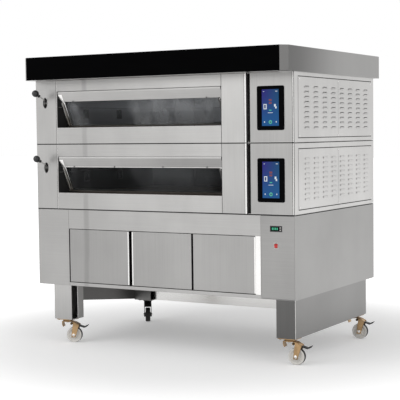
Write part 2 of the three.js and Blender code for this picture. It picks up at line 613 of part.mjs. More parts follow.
function casingSolid(z0, height, louvreTop) {
  const z1 = z0 + height;
  const foot = z0 + DECK_SEAM;
  const frontEnd = LEFT + OVEN_FRONT_WIDTH;
  const shell = boxSolid(LEFT, RIGHT, 0, BODY_DEPTH, foot, z1);
  const ovenBay = boxSolid(
    LEFT + SHEET, frontEnd - SHEET, SHEET, BODY_DEPTH + 1, foot + SHEET, z1 - SHEET);
  const controlBay = boxSolid(
    frontEnd, RIGHT - SHEET, -1, BODY_DEPTH + 1, foot + SHEET, z1 - SHEET);
  const rearPocket = boxSolid(
    LEFT + SHEET, RIGHT - SHEET, BODY_DEPTH - SHEET, BODY_DEPTH + 1, foot + SHEET, z1 - SHEET);
  const doorway = boxSolid(
    OPENING_X0, OPENING_X1, -1, SHEET + 1, z0 + OPENING_SILL, z0 + OPENING_SILL + OPENING_HEIGHT);
  const sideHole = boxSolid(
    RIGHT - SHEET - 1, RIGHT + 1, LOUVRE.front, BODY_DEPTH - LOUVRE.rear,
    z0 + LOUVRE.bottom, louvreTop);
  const slotZ = z0 + LEVER_UP;
  const straight = (LEVER_SLOT_HEIGHT - LEVER_SLOT_WIDTH) / 2;
  const slot = union([
    boxSolid(
      LEVER_X - LEVER_SLOT_WIDTH / 2, LEVER_X + LEVER_SLOT_WIDTH / 2, -1, SHEET + 1,
      slotZ - straight, slotZ + straight),
    ...[-straight, straight].map((up) => rodSolid(
      "y", LEVER_SLOT_WIDTH / 2, SHEET + 2, [LEVER_X, SHEET / 2, slotZ + up], 20)),
  ]);
  const post = boxSolid(RIGHT - CORNER_POST, RIGHT, 0, POST_DEPTH, foot, z1);
  const footRing = cut(
    boxSolid(LEFT + DECK_SEAM_INSET, RIGHT - DECK_SEAM_INSET,
      DECK_SEAM_INSET, BODY_DEPTH - DECK_SEAM_INSET, z0, foot),
    [boxSolid(
      LEFT + DECK_SEAM_INSET + DECK_FOOT_WIDTH, RIGHT - DECK_SEAM_INSET - DECK_FOOT_WIDTH,
      DECK_SEAM_INSET + DECK_FOOT_WIDTH, BODY_DEPTH - DECK_SEAM_INSET - DECK_FOOT_WIDTH,
      z0 - 1, foot + 1)]);
  // Two ears behind the slot hold the lever's pivot pin.
  const earGap = LEVER_HUB_WIDTH / 2 + LEVER_BRACKET_GAP;
  const ears = [-earGap - SHEET, earGap].map((offset) => boxSolid(
    LEVER_X + offset, LEVER_X + offset + SHEET, SHEET, LEVER_PIVOT_DEPTH + LEVER_HUB_RADIUS,
    slotZ - LEVER_SLOT_HEIGHT / 2 - 10, slotZ + LEVER_SLOT_HEIGHT / 2 + 10));
  const pin = rodSolid(
    "x", LEVER_PIN_RADIUS, 2 * (earGap + SHEET), [LEVER_X, LEVER_PIVOT_DEPTH, slotZ], 16);
  const frame = cut(shell, [ovenBay, controlBay, rearPocket, doorway, sideHole, slot]);
  return union([frame, post, footRing, ...ears, pin]);
}

// The chamber liner is a five-sided box with two steam vents in its left wall.
function linerSolid(z0) {
  const sill = z0 + OPENING_SILL;
  const head = sill + OPENING_HEIGHT;
  const floor = sill - CHAMBER_PIT;
  const outer = boxSolid(
    OPENING_X0 - SHEET, OPENING_X1 + SHEET, SHEET, CHAMBER_DEPTH + SHEET, floor - SHEET, head + SHEET);
  const inner = boxSolid(OPENING_X0, OPENING_X1, 0, CHAMBER_DEPTH, floor, head);
  const stoneFoot = sill - STONE_DROP - STONE_THICKNESS;
  const ledges = [OPENING_X0, OPENING_X1 - LEDGE_WIDTH].map((x) => boxSolid(
    x, x + LEDGE_WIDTH, SHEET, CHAMBER_DEPTH, stoneFoot - LEDGE_HEIGHT, stoneFoot));
  const vents = [VENT.fromFront, CHAMBER_DEPTH - VENT.fromBack].map((y) => boxSolid(
    OPENING_X0 - SHEET - 1, OPENING_X0 + 1, y - VENT.width / 2, y + VENT.width / 2,
    sill + VENT.up - VENT.height / 2, sill + VENT.up + VENT.height / 2));
  const pivot = leafPivot(z0);
  const pinHoles = rodSolid(
    "x", LEAF_PIN_RADIUS + RUN_GAP, OPENING_WIDTH + 4 * SHEET,
    [(OPENING_X0 + OPENING_X1) / 2, pivot.y, pivot.z], 16);
  return cut(union([cut(outer, [inner]), ...ledges]), [...vents, pinHoles]);
}

function insulationSolid(z0) {
  const sill = z0 + OPENING_SILL;
  const floor = sill - CHAMBER_PIT - SHEET - INSULATION_GAP;
  const head = sill + OPENING_HEIGHT + SHEET + INSULATION_GAP;
  const side = SHEET + INSULATION_GAP;
  const back = CHAMBER_DEPTH + SHEET + INSULATION_GAP;
  const rear = BODY_DEPTH - SHEET - REAR_COVER_GAP;
  const start = LEVER_PIVOT_DEPTH + 2 * LEVER_HUB_RADIUS;
  const outer = boxSolid(
    OPENING_X0 - side - INSULATION, OPENING_X1 + side + INSULATION, start, rear,
    z0 + DECK_SEAM + SHEET, head + INSULATION);
  return cut(outer, [boxSolid(OPENING_X0 - side, OPENING_X1 + side, 0, back, floor, head)]);
}

function stoneSolid(z0) {
  const top = z0 + OPENING_SILL - STONE_DROP;
  return boxSolid(
    OPENING_X0 + STONE_GAP, OPENING_X1 - STONE_GAP, SHEET + STONE_GAP, CHAMBER_DEPTH - STONE_GAP,
    top - STONE_THICKNESS, top);
}

// A heating element: straight rods across the chamber, joined by a bar at each end. The bars
// reach from the rods to the surface that carries them.
function heaterSolid(rodZ, seatZ, yStart) {
  const x0 = OPENING_X0 + HEATER_SIDE_GAP;
  const x1 = OPENING_X1 - HEATER_SIDE_GAP;
  const yEnd = CHAMBER_DEPTH - HEATER_BACK_GAP;
  const step = (yEnd - yStart) / (HEATER_ROD_COUNT - 1);
  const rods = Array.from({ length: HEATER_ROD_COUNT }, (unused, index) => rodSolid(
    "x", HEATER_ROD, x1 - x0, [(x0 + x1) / 2, yStart + index * step, rodZ], 8));
  const [low, high] = [Math.min(rodZ - HEATER_BAR / 2, seatZ), Math.max(rodZ + HEATER_BAR / 2, seatZ)];
  const bars = [x0, x1].map((x) => boxSolid(
    x - HEATER_BAR / 2, x + HEATER_BAR / 2, yStart - HEATER_BAR, yEnd + HEATER_BAR, low, high));
  return union([...rods, ...bars]);
}

function leafPivot(z0) {
  return {
    y: LEAF_HALF + 0.5,
    z: z0 + OPENING_SILL + OPENING_HEIGHT - LEAF_HALF - LEAF_HEAD_GAP,
  };
}

// The leaf is drawn hanging straight down from its pivot, with its outer face at -Y.
function leafFrameSolid() {
  const x0 = OPENING_X0 + LEAF_SIDE_GAP;
  const x1 = OPENING_X1 - LEAF_SIDE_GAP;
  const slab = boxSolid(x0, x1, -LEAF_HALF, LEAF_HALF, -LEAF_LENGTH, 0);
  const head = rodSolid("x", LEAF_HALF, x1 - x0, [(x0 + x1) / 2, 0, 0], 24);
  const window = boxSolid(
    x0 + LEAF_STILE, x1 - LEAF_STILE, -LEAF_HALF - 1, LEAF_HALF + 1,
    -LEAF_LENGTH + LEAF_BOTTOM_RAIL, -LEAF_TOP_RAIL);
  const half = GLASS_THICKNESS / 2 + RUN_GAP;
  const groove = boxSolid(
    x0 + LEAF_STILE - LEAF_GROOVE, x1 - LEAF_STILE + LEAF_GROOVE, -half, half,
    -LEAF_LENGTH + 2, -LEAF_TOP_RAIL + LEAF_GROOVE);
  const pinX = [x0 - LEAF_PIN_REACH, x1 + LEAF_PIN_REACH];
  const pins = pinX.map((x, index) => rodSolid(
    "x", LEAF_PIN_RADIUS, 2 * LEAF_PIN_REACH + SHEET,
    [x + (index ? -1 : 1) * SHEET / 2, 0, 0], 16));
  return union([cut(slab.add(head), [window, groove]), ...pins]);
}

function glassSolid() {
  const inset = LEAF_SIDE_GAP + LEAF_STILE - LEAF_GROOVE + RUN_GAP;
  return boxSolid(
    OPENING_X0 + inset, OPENING_X1 - inset, -GLASS_THICKNESS / 2, GLASS_THICKNESS / 2,
    -LEAF_LENGTH + 2 + RUN_GAP, -LEAF_TOP_RAIL + LEAF_GROOVE - RUN_GAP);
}

// The lever is drawn along -Y from its pivot.
function leverSolid() {
  const hub = rodSolid("x", LEVER_HUB_RADIUS, LEVER_HUB_WIDTH, [0, 0, 0], 20);
  const rod = rodSolid(
    "y", LEVER_ROD_RADIUS, LEVER_ROD_LENGTH, [0, -LEVER_ROD_LENGTH / 2, 0], 12);
  const bore = rodSolid("x", LEVER_PIN_RADIUS + RUN_GAP, LEVER_HUB_WIDTH + 2, [0, 0, 0], 16);
  return cut(hub.add(rod), [bore]);
}

// A ball with a conical neck, threaded on the end of the rod.
function knobSolid() {
  const neckEnd = LEVER_ROD_LENGTH - KNOB_BORE_DEPTH;
  const ballCentre = neckEnd + KNOB_NECK_LENGTH + KNOB_RADIUS * 0.6;
  const steps = 9;
  const arc = Array.from({ length: steps + 1 }, (unused, index) => {
    const angle = Math.PI - Math.acos(0.6) + (Math.acos(0.6) - Math.PI) * (index / steps);
    return new THREE.Vector2(KNOB_RADIUS * Math.sin(angle), ballCentre - KNOB_RADIUS * Math.cos(Math.PI - angle));
  });
  const outline = [
    new THREE.Vector2(LEVER_ROD_RADIUS + RUN_GAP, LEVER_ROD_LENGTH + RUN_GAP),
    new THREE.Vector2(LEVER_ROD_RADIUS + RUN_GAP, neckEnd),
    new THREE.Vector2(KNOB_NECK_RADIUS, neckEnd),
    ...arc,
  ];
  outline[outline.length - 1] = new THREE.Vector2(0, ballCentre + KNOB_RADIUS);
  outline.unshift(new THREE.Vector2(0, LEVER_ROD_LENGTH + RUN_GAP));
  const geometry = new THREE.LatheGeometry(outline, 16);
  geometry.rotateX(Math.PI);
  return toSolid(geometry);
}

function controlPanelSolid(z0, height) {
  const x0 = LEFT + OVEN_FRONT_WIDTH + CONTROL_GAP;
  const x1 = RIGHT - CORNER_POST;
  const zLow = z0 + DECK_SEAM + SHEET;
  const zHigh = z0 + height - SHEET;
  const tray = boxSolid(x0, x1, 0, CONTROL_PANEL_FOLD, zLow, zHigh);
  const inside = boxSolid(
    x0 + SHEET, x1 - SHEET, SHEET, CONTROL_PANEL_FOLD + 1, zLow + SHEET, zHigh - SHEET);
  const centre = screenCentre(z0);
  const w = SCREEN.width / 2 - SCREEN_LAP;
  const h = SCREEN.height / 2 - SCREEN_LAP;
  const window = boxSolid(centre.x - w, centre.x + w, -1, SHEET + 1, centre.z - h, centre.z + h);
  return cut(tray, [inside, window]);
}

function screenCentre(z0) {
  return {
    x: LEFT + OVEN_FRONT_WIDTH + CONTROL_GAP + SCREEN.fromLeft + SCREEN.width / 2,
    z: z0 + SCREEN.up + SCREEN.height / 2,
  };
}

function screenSolid(z0) {
  const { x, z } = screenCentre(z0);
  const w = SCREEN.width / 2;
  const h = SCREEN.height / 2;
  const r = SCREEN.corner;
  const shape = new THREE.Shape();
  shape.absarc(w - r, h - r, r, 0, Math.PI / 2);
  shape.absarc(-w + r, h - r, r, Math.PI / 2, Math.PI);
  shape.absarc(-w + r, -h + r, r, Math.PI, 1.5 * Math.PI);
  shape.absarc(w - r, -h + r, r, 1.5 * Math.PI, 2 * Math.PI);
  const geometry = new THREE.ExtrudeGeometry(
    shape, { depth: SCREEN.proud, bevelEnabled: false, curveSegments: 5 });
  geometry.rotateX(Math.PI / 2);
  geometry.translate(x, 0, z);
  const inset = SCREEN_LAP + RUN_GAP;
  const back = boxSolid(x - w + inset, x + w - inset, 0, SCREEN.depth, z - h + inset, z + h - inset);
  return toSolid(geometry).add(back);
}

function louvrePanelSolid(z0, louvreTop) {
  const gap = LOUVRE.gap;
  const plate = boxSolid(
    RIGHT - SHEET, RIGHT + LOUVRE.proud, LOUVRE.front + gap, BODY_DEPTH - LOUVRE.rear - gap,
    z0 + LOUVRE.bottom + gap, louvreTop - gap);
  // A flange behind the plate laps the casing's side from inside and seats on it.
  const lap = LOUVRE_LAP;
  const flange = cut(
    boxSolid(
      RIGHT - 2 * SHEET, RIGHT - SHEET, LOUVRE.front - lap / 2, BODY_DEPTH - LOUVRE.rear + lap,
      z0 + LOUVRE.bottom - lap, louvreTop + lap),
    [boxSolid(
      RIGHT - 2 * SHEET - 1, RIGHT, LOUVRE.front + lap, BODY_DEPTH - LOUVRE.rear - lap,
      z0 + LOUVRE.bottom + lap, louvreTop - lap)]);
  const lastY = BODY_DEPTH - LOUVRE_LAST.fromRear;
  const lastUp = louvreTop - LOUVRE_LAST.fromTop - z0;
  const pitchY = (lastY - LOUVRE_FIRST.y) / (LOUVRE_SLOT.columns - 1);
  const pitchZ = (lastUp - LOUVRE_FIRST.up) / (LOUVRE_SLOT.rows - 1);
  const slots = [];
  for (let column = 0; column < LOUVRE_SLOT.columns; column += 1) {
    for (let row = 0; row < LOUVRE_SLOT.rows; row += 1) {
      const y = LOUVRE_FIRST.y + column * pitchY;
      const z = z0 + LOUVRE_FIRST.up + row * pitchZ;
      slots.push(boxSolid(
        RIGHT - SHEET - 1, RIGHT + LOUVRE.proud + 1,
        y - LOUVRE_SLOT.width / 2, y + LOUVRE_SLOT.width / 2,
        z - LOUVRE_SLOT.height / 2, z + LOUVRE_SLOT.height / 2));
    }
  }
  return cut(plate, [union(slots)]).add(flange);
}

function rearCoverSolid(z0, height) {
  const inset = SHEET;
  return boxSolid(
    LEFT + inset, RIGHT - inset, BODY_DEPTH - SHEET, BODY_DEPTH,
    z0 + DECK_SEAM + inset, z0 + height - inset);
}

function buildDeck(name, z0, height) {
  const sill = z0 + OPENING_SILL;
  const head = sill + OPENING_HEIGHT;
  const pit = sill - CHAMBER_PIT;
  const louvreTop = z0 + height - LOUVRE_TOP_INSET[name];
  oven.add(part(`${name}_casing`, casingSolid(z0, height, louvreTop), "steel"));
  oven.add(part(`${name}_chamber`, linerSolid(z0), "darkSteel"));
  oven.add(part(`${name}_insulation`, insulationSolid(z0), "wool"));
  oven.add(part(`${name}_hearth_stone`, stoneSolid(z0), "stone"));
  oven.add(part(`${name}_ceiling_heater`, heaterSolid(head - HEATER_DROP, head, UPPER_HEATER_START), "element"));
  oven.add(part(`${name}_floor_heater`, heaterSolid(pit + HEATER_BAR, pit, LOWER_HEATER_START), "element"));
  oven.add(part(`${name}_control_panel`, controlPanelSolid(z0, height), "steel"));
  oven.add(part(`${name}_touch_screen`, screenSolid(z0), "blackGloss"));
  oven.add(part(`${name}_louvre_panel`, louvrePanelSolid(z0, louvreTop), "steel"));
  oven.add(part(`${name}_rear_cover`, rearCoverSolid(z0, height), "steel"));

  const pivot = leafPivot(z0);
  const leaf = new THREE.Group();
  leaf.position.set(0, pivot.y, pivot.z);
  leaf.rotation.x = THREE.MathUtils.degToRad(LEAF_INCLINE);
  leaf.add(part(`${name}_door_frame`, leafFrameSolid(), "brightSteel"));
  leaf.add(part(`${name}_door_glass`, glassSolid(), "glass"));
  oven.add(leaf);

  const lever = new THREE.Group();
  lever.position.set(LEVER_X, LEVER_PIVOT_DEPTH, z0 + LEVER_UP);
  lever.rotation.x = -THREE.MathUtils.degToRad(LEVER_REST_ANGLE);
  lever.add(part(`${name}_damper_lever`, leverSolid(), "brightSteel"));
  lever.add(part(`${name}_damper_knob`, knobSolid(), "blackPlastic"));
  oven.add(lever);
}

buildDeck("lower", LOWER_DECK_Z, LOWER_DECK_HEIGHT);
buildDeck("upper", UPPER_DECK_Z, UPPER_DECK_HEIGHT);

// ---------------------------------------------------------------- canopy

// The canopy's outline from above, drawn in by an inset; its two front corners are cut off.
function canopyOutline(inset) {
  const x = RIGHT + CANOPY_SIDE - inset;
  const front = -CANOPY_FRONT + SHEET + inset;
  const rear = BODY_DEPTH + CANOPY_REAR - inset;
  const cutOff = CANOPY_CHAMFER - inset * (2 - Math.SQRT2);
  return new THREE.Shape([
    new THREE.Vector2(-x + cutOff, front), new THREE.Vector2(x - cutOff, front),
    new THREE.Vector2(x, front + cutOff), new THREE.Vector2(x, rear),
    new THREE.Vector2(-x, rear), new THREE.Vector2(-x, front + cutOff),
  ]);
}

function canopyBlock(inset) {
  const geometry = new THREE.ExtrudeGeometry(
    canopyOutline(inset), { depth: CANOPY_HEIGHT - 2 * inset, bevelEnabled: false });
  geometry.translate(0, 0, CANOPY_Z + inset);
  return toSolid(geometry);
}

// The canopy is a sheet box over the upper deck, open underneath where the steam rises.
function buildCanopy() {
  const mouth = boxSolid(
    LEFT + CANOPY_RIM, RIGHT - CANOPY_RIM, CANOPY_RIM, BODY_DEPTH - CANOPY_RIM,
    CANOPY_Z - 1, CANOPY_Z + 2 * SHEET);
  oven.add(part("canopy", cut(canopyBlock(0), [canopyBlock(SHEET), mouth]), "steel"));
  const x = RIGHT + CANOPY_SIDE - CANOPY_CHAMFER;
  const fascia = boxSolid(
    -x, x, -CANOPY_FRONT, -CANOPY_FRONT + SHEET, CANOPY_Z, CANOPY_Z + CANOPY_HEIGHT);
  oven.add(part("canopy_fascia", fascia, "blackGloss"));
}

buildCanopy();

// The origin is at floor level under the middle of the whole oven.
oven.updateMatrixWorld(true);
const extent = new THREE.Box3().setFromObject(oven, true);
oven.position.set(
  -(extent.min.x + extent.max.x) / 2, -(extent.min.y + extent.max.y) / 2, -extent.min.z);
oven.updateMatrixWorld(true);

export default oven;
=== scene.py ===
from math import atan2, cos, pi, radians, sin

import bpy
from mathutils import Matrix, Vector


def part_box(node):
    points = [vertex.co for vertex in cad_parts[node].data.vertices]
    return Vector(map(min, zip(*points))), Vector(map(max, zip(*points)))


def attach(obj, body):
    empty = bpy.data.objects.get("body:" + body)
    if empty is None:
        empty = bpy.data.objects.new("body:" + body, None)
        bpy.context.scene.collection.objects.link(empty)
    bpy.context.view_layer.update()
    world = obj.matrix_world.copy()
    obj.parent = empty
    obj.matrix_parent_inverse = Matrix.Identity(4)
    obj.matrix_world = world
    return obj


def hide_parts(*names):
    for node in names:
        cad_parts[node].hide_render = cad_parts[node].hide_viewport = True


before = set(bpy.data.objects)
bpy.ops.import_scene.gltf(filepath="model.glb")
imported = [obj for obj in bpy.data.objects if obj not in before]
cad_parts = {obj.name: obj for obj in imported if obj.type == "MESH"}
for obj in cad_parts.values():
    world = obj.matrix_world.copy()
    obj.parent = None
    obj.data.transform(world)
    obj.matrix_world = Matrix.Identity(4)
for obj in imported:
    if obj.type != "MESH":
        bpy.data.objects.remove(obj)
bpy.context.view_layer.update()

bl_info = {
    "name": "Deck Oven",
    "version": (1, 0, 0),
    "blender": (4, 5, 0),
    "location": "View3D > Sidebar > Deck Oven",
    "description": "Two-deck bakery oven on a proofer cabinet and a caster stand",
    "category": "Object",
}

MM = 0.001

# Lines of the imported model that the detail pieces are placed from, in metres.
CASE_LOW, CASE_HIGH = (Vector(corner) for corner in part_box("upper_casing"))
MIDDLE = (CASE_LOW.x + CASE_HIGH.x) / 2
FRONT = CASE_LOW.y
DECKS = ("lower", "upper")
LEVER_UP = 231
CASTERS = ("front_left", "front_right", "rear_left", "rear_right")


def at(x, y, z):
    """A point in metres from millimetres: x from the body's middle, y back from its front."""
    return Vector((MIDDLE + x * MM, FRONT + y * MM, z * MM))


def deck_foot(deck):
    """The height in millimetres of the foot of a deck."""
    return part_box(f"{deck}_casing")[0][2] / MM


def deck_top(deck):
    """The height in millimetres of the top of a deck."""
    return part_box(f"{deck}_casing")[1][2] / MM


# ---------------------------------------------------------------- settings


class SteelSettings(bpy.types.PropertyGroup):
    """Colours and sheet sizes of the stainless steel."""

    colour: bpy.props.FloatVectorProperty(
        name="Steel", description="Colour of the brushed steel",
        default=(0.42, 0.415, 0.408), size=3, subtype="COLOR", min=0, max=1)
    roughness: bpy.props.FloatProperty(
        name="Roughness", description="Roughness of the brushed steel", default=0.34, min=0, max=1)
    sheet: bpy.props.FloatProperty(
        name="Front Sheet", description="Thickness of the front sheets that lap the casings",
        default=0.0012, unit="LENGTH")
    edge: bpy.props.FloatProperty(
        name="Edge", description="Radius of a folded sheet edge", default=0.0012, unit="LENGTH")


class GlossSettings(bpy.types.PropertyGroup):
    """Colours of the painted, moulded and plated parts."""

    fascia: bpy.props.FloatVectorProperty(
        name="Fascia", description="Colour of the glossy canopy front",
        default=(0.0014, 0.0014, 0.0016), size=3, subtype="COLOR", min=0, max=1)
    zinc: bpy.props.FloatVectorProperty(
        name="Zinc", description="Colour of the yellow plated caster forks",
        default=(0.40, 0.265, 0.14), size=3, subtype="COLOR", min=0, max=1)
    nylon: bpy.props.FloatVectorProperty(
        name="Nylon", description="Colour of the caster wheels",
        default=(0.80, 0.78, 0.74), size=3, subtype="COLOR", min=0, max=1)
    switch: bpy.props.FloatVectorProperty(
        name="Switch", description="Colour of the rocker button",
        default=(0.62, 0.012, 0.010), size=3, subtype="COLOR", min=0, max=1)
    display: bpy.props.FloatVectorProperty(
        name="Display", description="Lower colour of the lit display",
        default=(0.010, 0.060, 0.170), size=3, subtype="COLOR", min=0, max=1)


class StageSettings(bpy.types.PropertyGroup):
    """The camera, the lamps and the floor."""

    place: bpy.props.FloatVectorProperty(
        name="Camera", description="Place of the camera", default=(3.2395, -5.6511, 1.1744),
        size=3, subtype="TRANSLATION", unit="LENGTH")
    yaw: bpy.props.FloatProperty(
        name="Yaw", description="Turn of the camera towards the oven", default=radians(30.28),
        subtype="ANGLE", unit="ROTATION")
    pitch: bpy.props.FloatProperty(
        name="Pitch", description="Tilt of the camera below level", default=radians(3.38),
        subtype="ANGLE", unit="ROTATION")
    roll: bpy.props.FloatProperty(
        name="Roll", description="Roll of the camera", default=radians(-0.68),
        subtype="ANGLE", unit="ROTATION")
    lens: bpy.props.FloatProperty(
        name="Lens", description="Focal length in millimetres", default=103.87, min=10, max=300)
    key: bpy.props.FloatProperty(
        name="Key", description="Power of the large lamp", default=300, subtype="POWER", unit="POWER")
    fill: bpy.props.FloatProperty(
        name="Fill", description="Power of the fill lamp", default=110, subtype="POWER", unit="POWER")
    air: bpy.props.FloatProperty(
        name="Air", description="Strength of the even light from around", default=0.55, min=0, max=2)


SETTINGS = (
    ("oven_steel", SteelSettings),
    ("oven_gloss", GlossSettings),
    ("oven_stage", StageSettings),
)


# ---------------------------------------------------------------- finishes


class Value:
    """A shader socket that Python arithmetic can be written on."""

    def __init__(self, finish, socket):
        self.finish = finish
        self.socket = socket

    def math(self, operation, first, second=0.0):
        """Add a Math node on two values and give its result."""
        return self.finish.add("ShaderNodeMath", {"operation": operation}, {0: first, 1: second})

    def __add__(self, other):
        return self.math("ADD", self, other)

    __radd__ = __add__

    def __sub__(self, other):
        return self.math("SUBTRACT", self, other)

    def __rsub__(self, other):
        return self.math("SUBTRACT", other, self)

    def __mul__(self, other):
        return self.math("MULTIPLY", self, other)

    __rmul__ = __mul__

    def __gt__(self, other):
        return self.math("GREATER_THAN", self, other)

    def least(self, other):
        """The larger of two values."""
        return self.math("MAXIMUM", self, other)


class Finish:
    """A material made of nodes, with the methods that fill it."""

    def __init__(self, name, owner=None):
        self.material = owner or bpy.data.materials.new(name)
        self.material.use_nodes = True
        self.tree = self.material.node_tree
        self.surface = self.tree.nodes.get("Principled BSDF")

    def add(self, kind, settings=None, sockets=None, output=0):
        """Add a node: its settings first, then its sockets' values or links."""
        node = self.tree.nodes.new(kind)
        for key, value in (settings or {}).items():
            setattr(node, key, value)
        for key, value in (sockets or {}).items():
            self.put(node.inputs[key], value)
        return Value(self, node.outputs[output])

    def put(self, socket, value):
        """Set a socket to a constant, or link a value to it."""
        if isinstance(value, Value):
            self.tree.links.new(value.socket, socket)
        elif hasattr(value, "__len__") and len(value) == 3 and socket.type == "RGBA":
            socket.default_value = (*value, 1)
        else:
            socket.default_value = value

    def set(self, **sockets):
        """Set the main shader's sockets, named with underscores for spaces."""
        for key, value in sockets.items():
            self.put(self.surface.inputs[key.replace("_", " ")], value)
        return self

    def place(self, scale=(1, 1, 1), shift=(0, 0, 0)):
        """Object coordinates, scaled and moved."""
        point = self.add("ShaderNodeTexCoord", output=3)
        return self.add(
            "ShaderNodeMapping", {}, {"Vector": point, "Scale": scale, "Location": shift})

    def noise(self, scale, detail=3.0, stretch=(1, 1, 1), shift=(0, 0, 0)):
        """Soft noise about 0.5, in object coordinates."""
        return self.add(
            "ShaderNodeTexNoise", {},
            {"Vector": self.place(stretch, shift), "Scale": scale, "Detail": detail})

    def axis(self, name):
        """One object coordinate as a value, in metres."""
        point = self.add("ShaderNodeTexCoord", output=3)
        return self.add("ShaderNodeSeparateXYZ", {}, {"Vector": point}, "XYZ".index(name))

    def span(self, value, low, high, first=0.0, last=1.0):
        """The value's way from low to high, eased, as a number from first to last."""
        return self.add(
            "ShaderNodeMapRange", {"interpolation_type": "SMOOTHSTEP"},
            {"Value": value, "From Min": low, "From Max": high, "To Min": first, "To Max": last})

    def mix(self, factor, first, second):
        """A colour between two others."""
        return self.add(
            "ShaderNodeMix", {"data_type": "RGBA"}, {0: factor, 6: first, 7: second}, 2)

    def seen(self):
        """1 for the camera, for reflections and through glass, and 0 for the light on surfaces."""
        camera, glossy, through = (
            self.add("ShaderNodeLightPath", output=f"Is {ray} Ray")
            for ray in ("Camera", "Glossy", "Transmission"))
        return camera.least(glossy).least(through)

    def bump(self, height, strength, distance=0.001):
        """A Bump node on a height."""
        return self.add(
            "ShaderNodeBump", {}, {"Height": height, "Strength": strength, "Distance": distance})


def shaded(colour, share):
    """A colour made lighter or darker by a share."""
    return tuple(min(1.0, part * share) for part in colour)


def brushed(name, share=1.0, grain="Z", roughness=None, spread=0.10, painted_band_and_shade=False):
    """Brushed steel: fine streaks along the grain, soft clouds and handling marks; where asked, a painted dark
    reflection band and painted shade to the left.
    """
    settings = bpy.context.scene.oven_steel
    colour = shaded(settings.colour, share)
    rough = settings.roughness if roughness is None else roughness
    finish = Finish(name)
    along = [260.0, 260.0, 260.0]
    along["XYZ".index(grain)] = 2.4
    streak = finish.noise(1.0, 4.0, along)
    cloud = finish.noise(2.3, 3.0)
    smear_and_reflection = finish.noise(11.0, 5.0, (1.0, 1.0, 0.35), (0.3, 0.1, 0.7))
    tone = finish.span(0.5 * cloud + 0.22 * smear_and_reflection + 0.28 * streak, 0.28, 0.72)
    base = finish.mix(tone, shaded(colour, 1 - spread), shaded(colour, 1 + spread))
    # Painted reflection and shade: a soft dark vertical band 452.5 mm left of the middle, dappled by the smears,
    # and painted shade that darkens the steel towards the left end.
    if painted_band_and_shade:
        across = finish.axis("X") + 0.035 * cloud - (MIDDLE - 0.470 + 0.0175)
        aside = across.least(-1 * across)
        dark_reflection_band = finish.span(aside, 0.006, 0.034, 0.62, 0.0)
        left = finish.span(across, -0.30, 0.85, 0.30, 0.0)
        painted_darkening = left.least(dark_reflection_band * (0.45 + 0.9 * smear_and_reflection))
        base = finish.mix(painted_darkening, base, shaded(colour, 0.52))
    finish.set(
        Base_Color=base,
        Metallic=1.0,
        Roughness=rough - 0.06 + 0.10 * smear_and_reflection + 0.05 * streak,
        Normal=finish.bump(streak, 0.10, 0.0004))
    return finish


def moulded(name, colour, roughness=0.42, grain=0.25, coat=0.0):
    """Moulded plastic or paint: a fine skin texture with slightly uneven gloss."""
    finish = Finish(name)
    skin = finish.noise(900.0, 2.0)
    patch = finish.noise(24.0, 3.0)
    finish.set(
        Base_Color=finish.mix(patch, shaded(colour, 0.86), shaded(colour, 1.14)),
        Roughness=roughness - 0.05 + 0.10 * patch,
        Coat_Weight=coat,
        Normal=finish.bump(skin, grain, 0.0003))
    return finish


def plated(name, colour, roughness=0.32):
    """Zinc plating with a drifting hue and small dull spots."""
    finish = Finish(name)
    drift = finish.noise(14.0, 4.0)
    spot = finish.noise(130.0, 3.0)
    finish.set(
        Base_Color=finish.mix(
            finish.span(drift, 0.35, 0.65), shaded(colour, 0.72), shaded(colour, 1.22)),
        Metallic=0.9,
        Roughness=roughness + 0.22 * spot,
        Normal=finish.bump(spot, 0.12, 0.0005))
    return finish


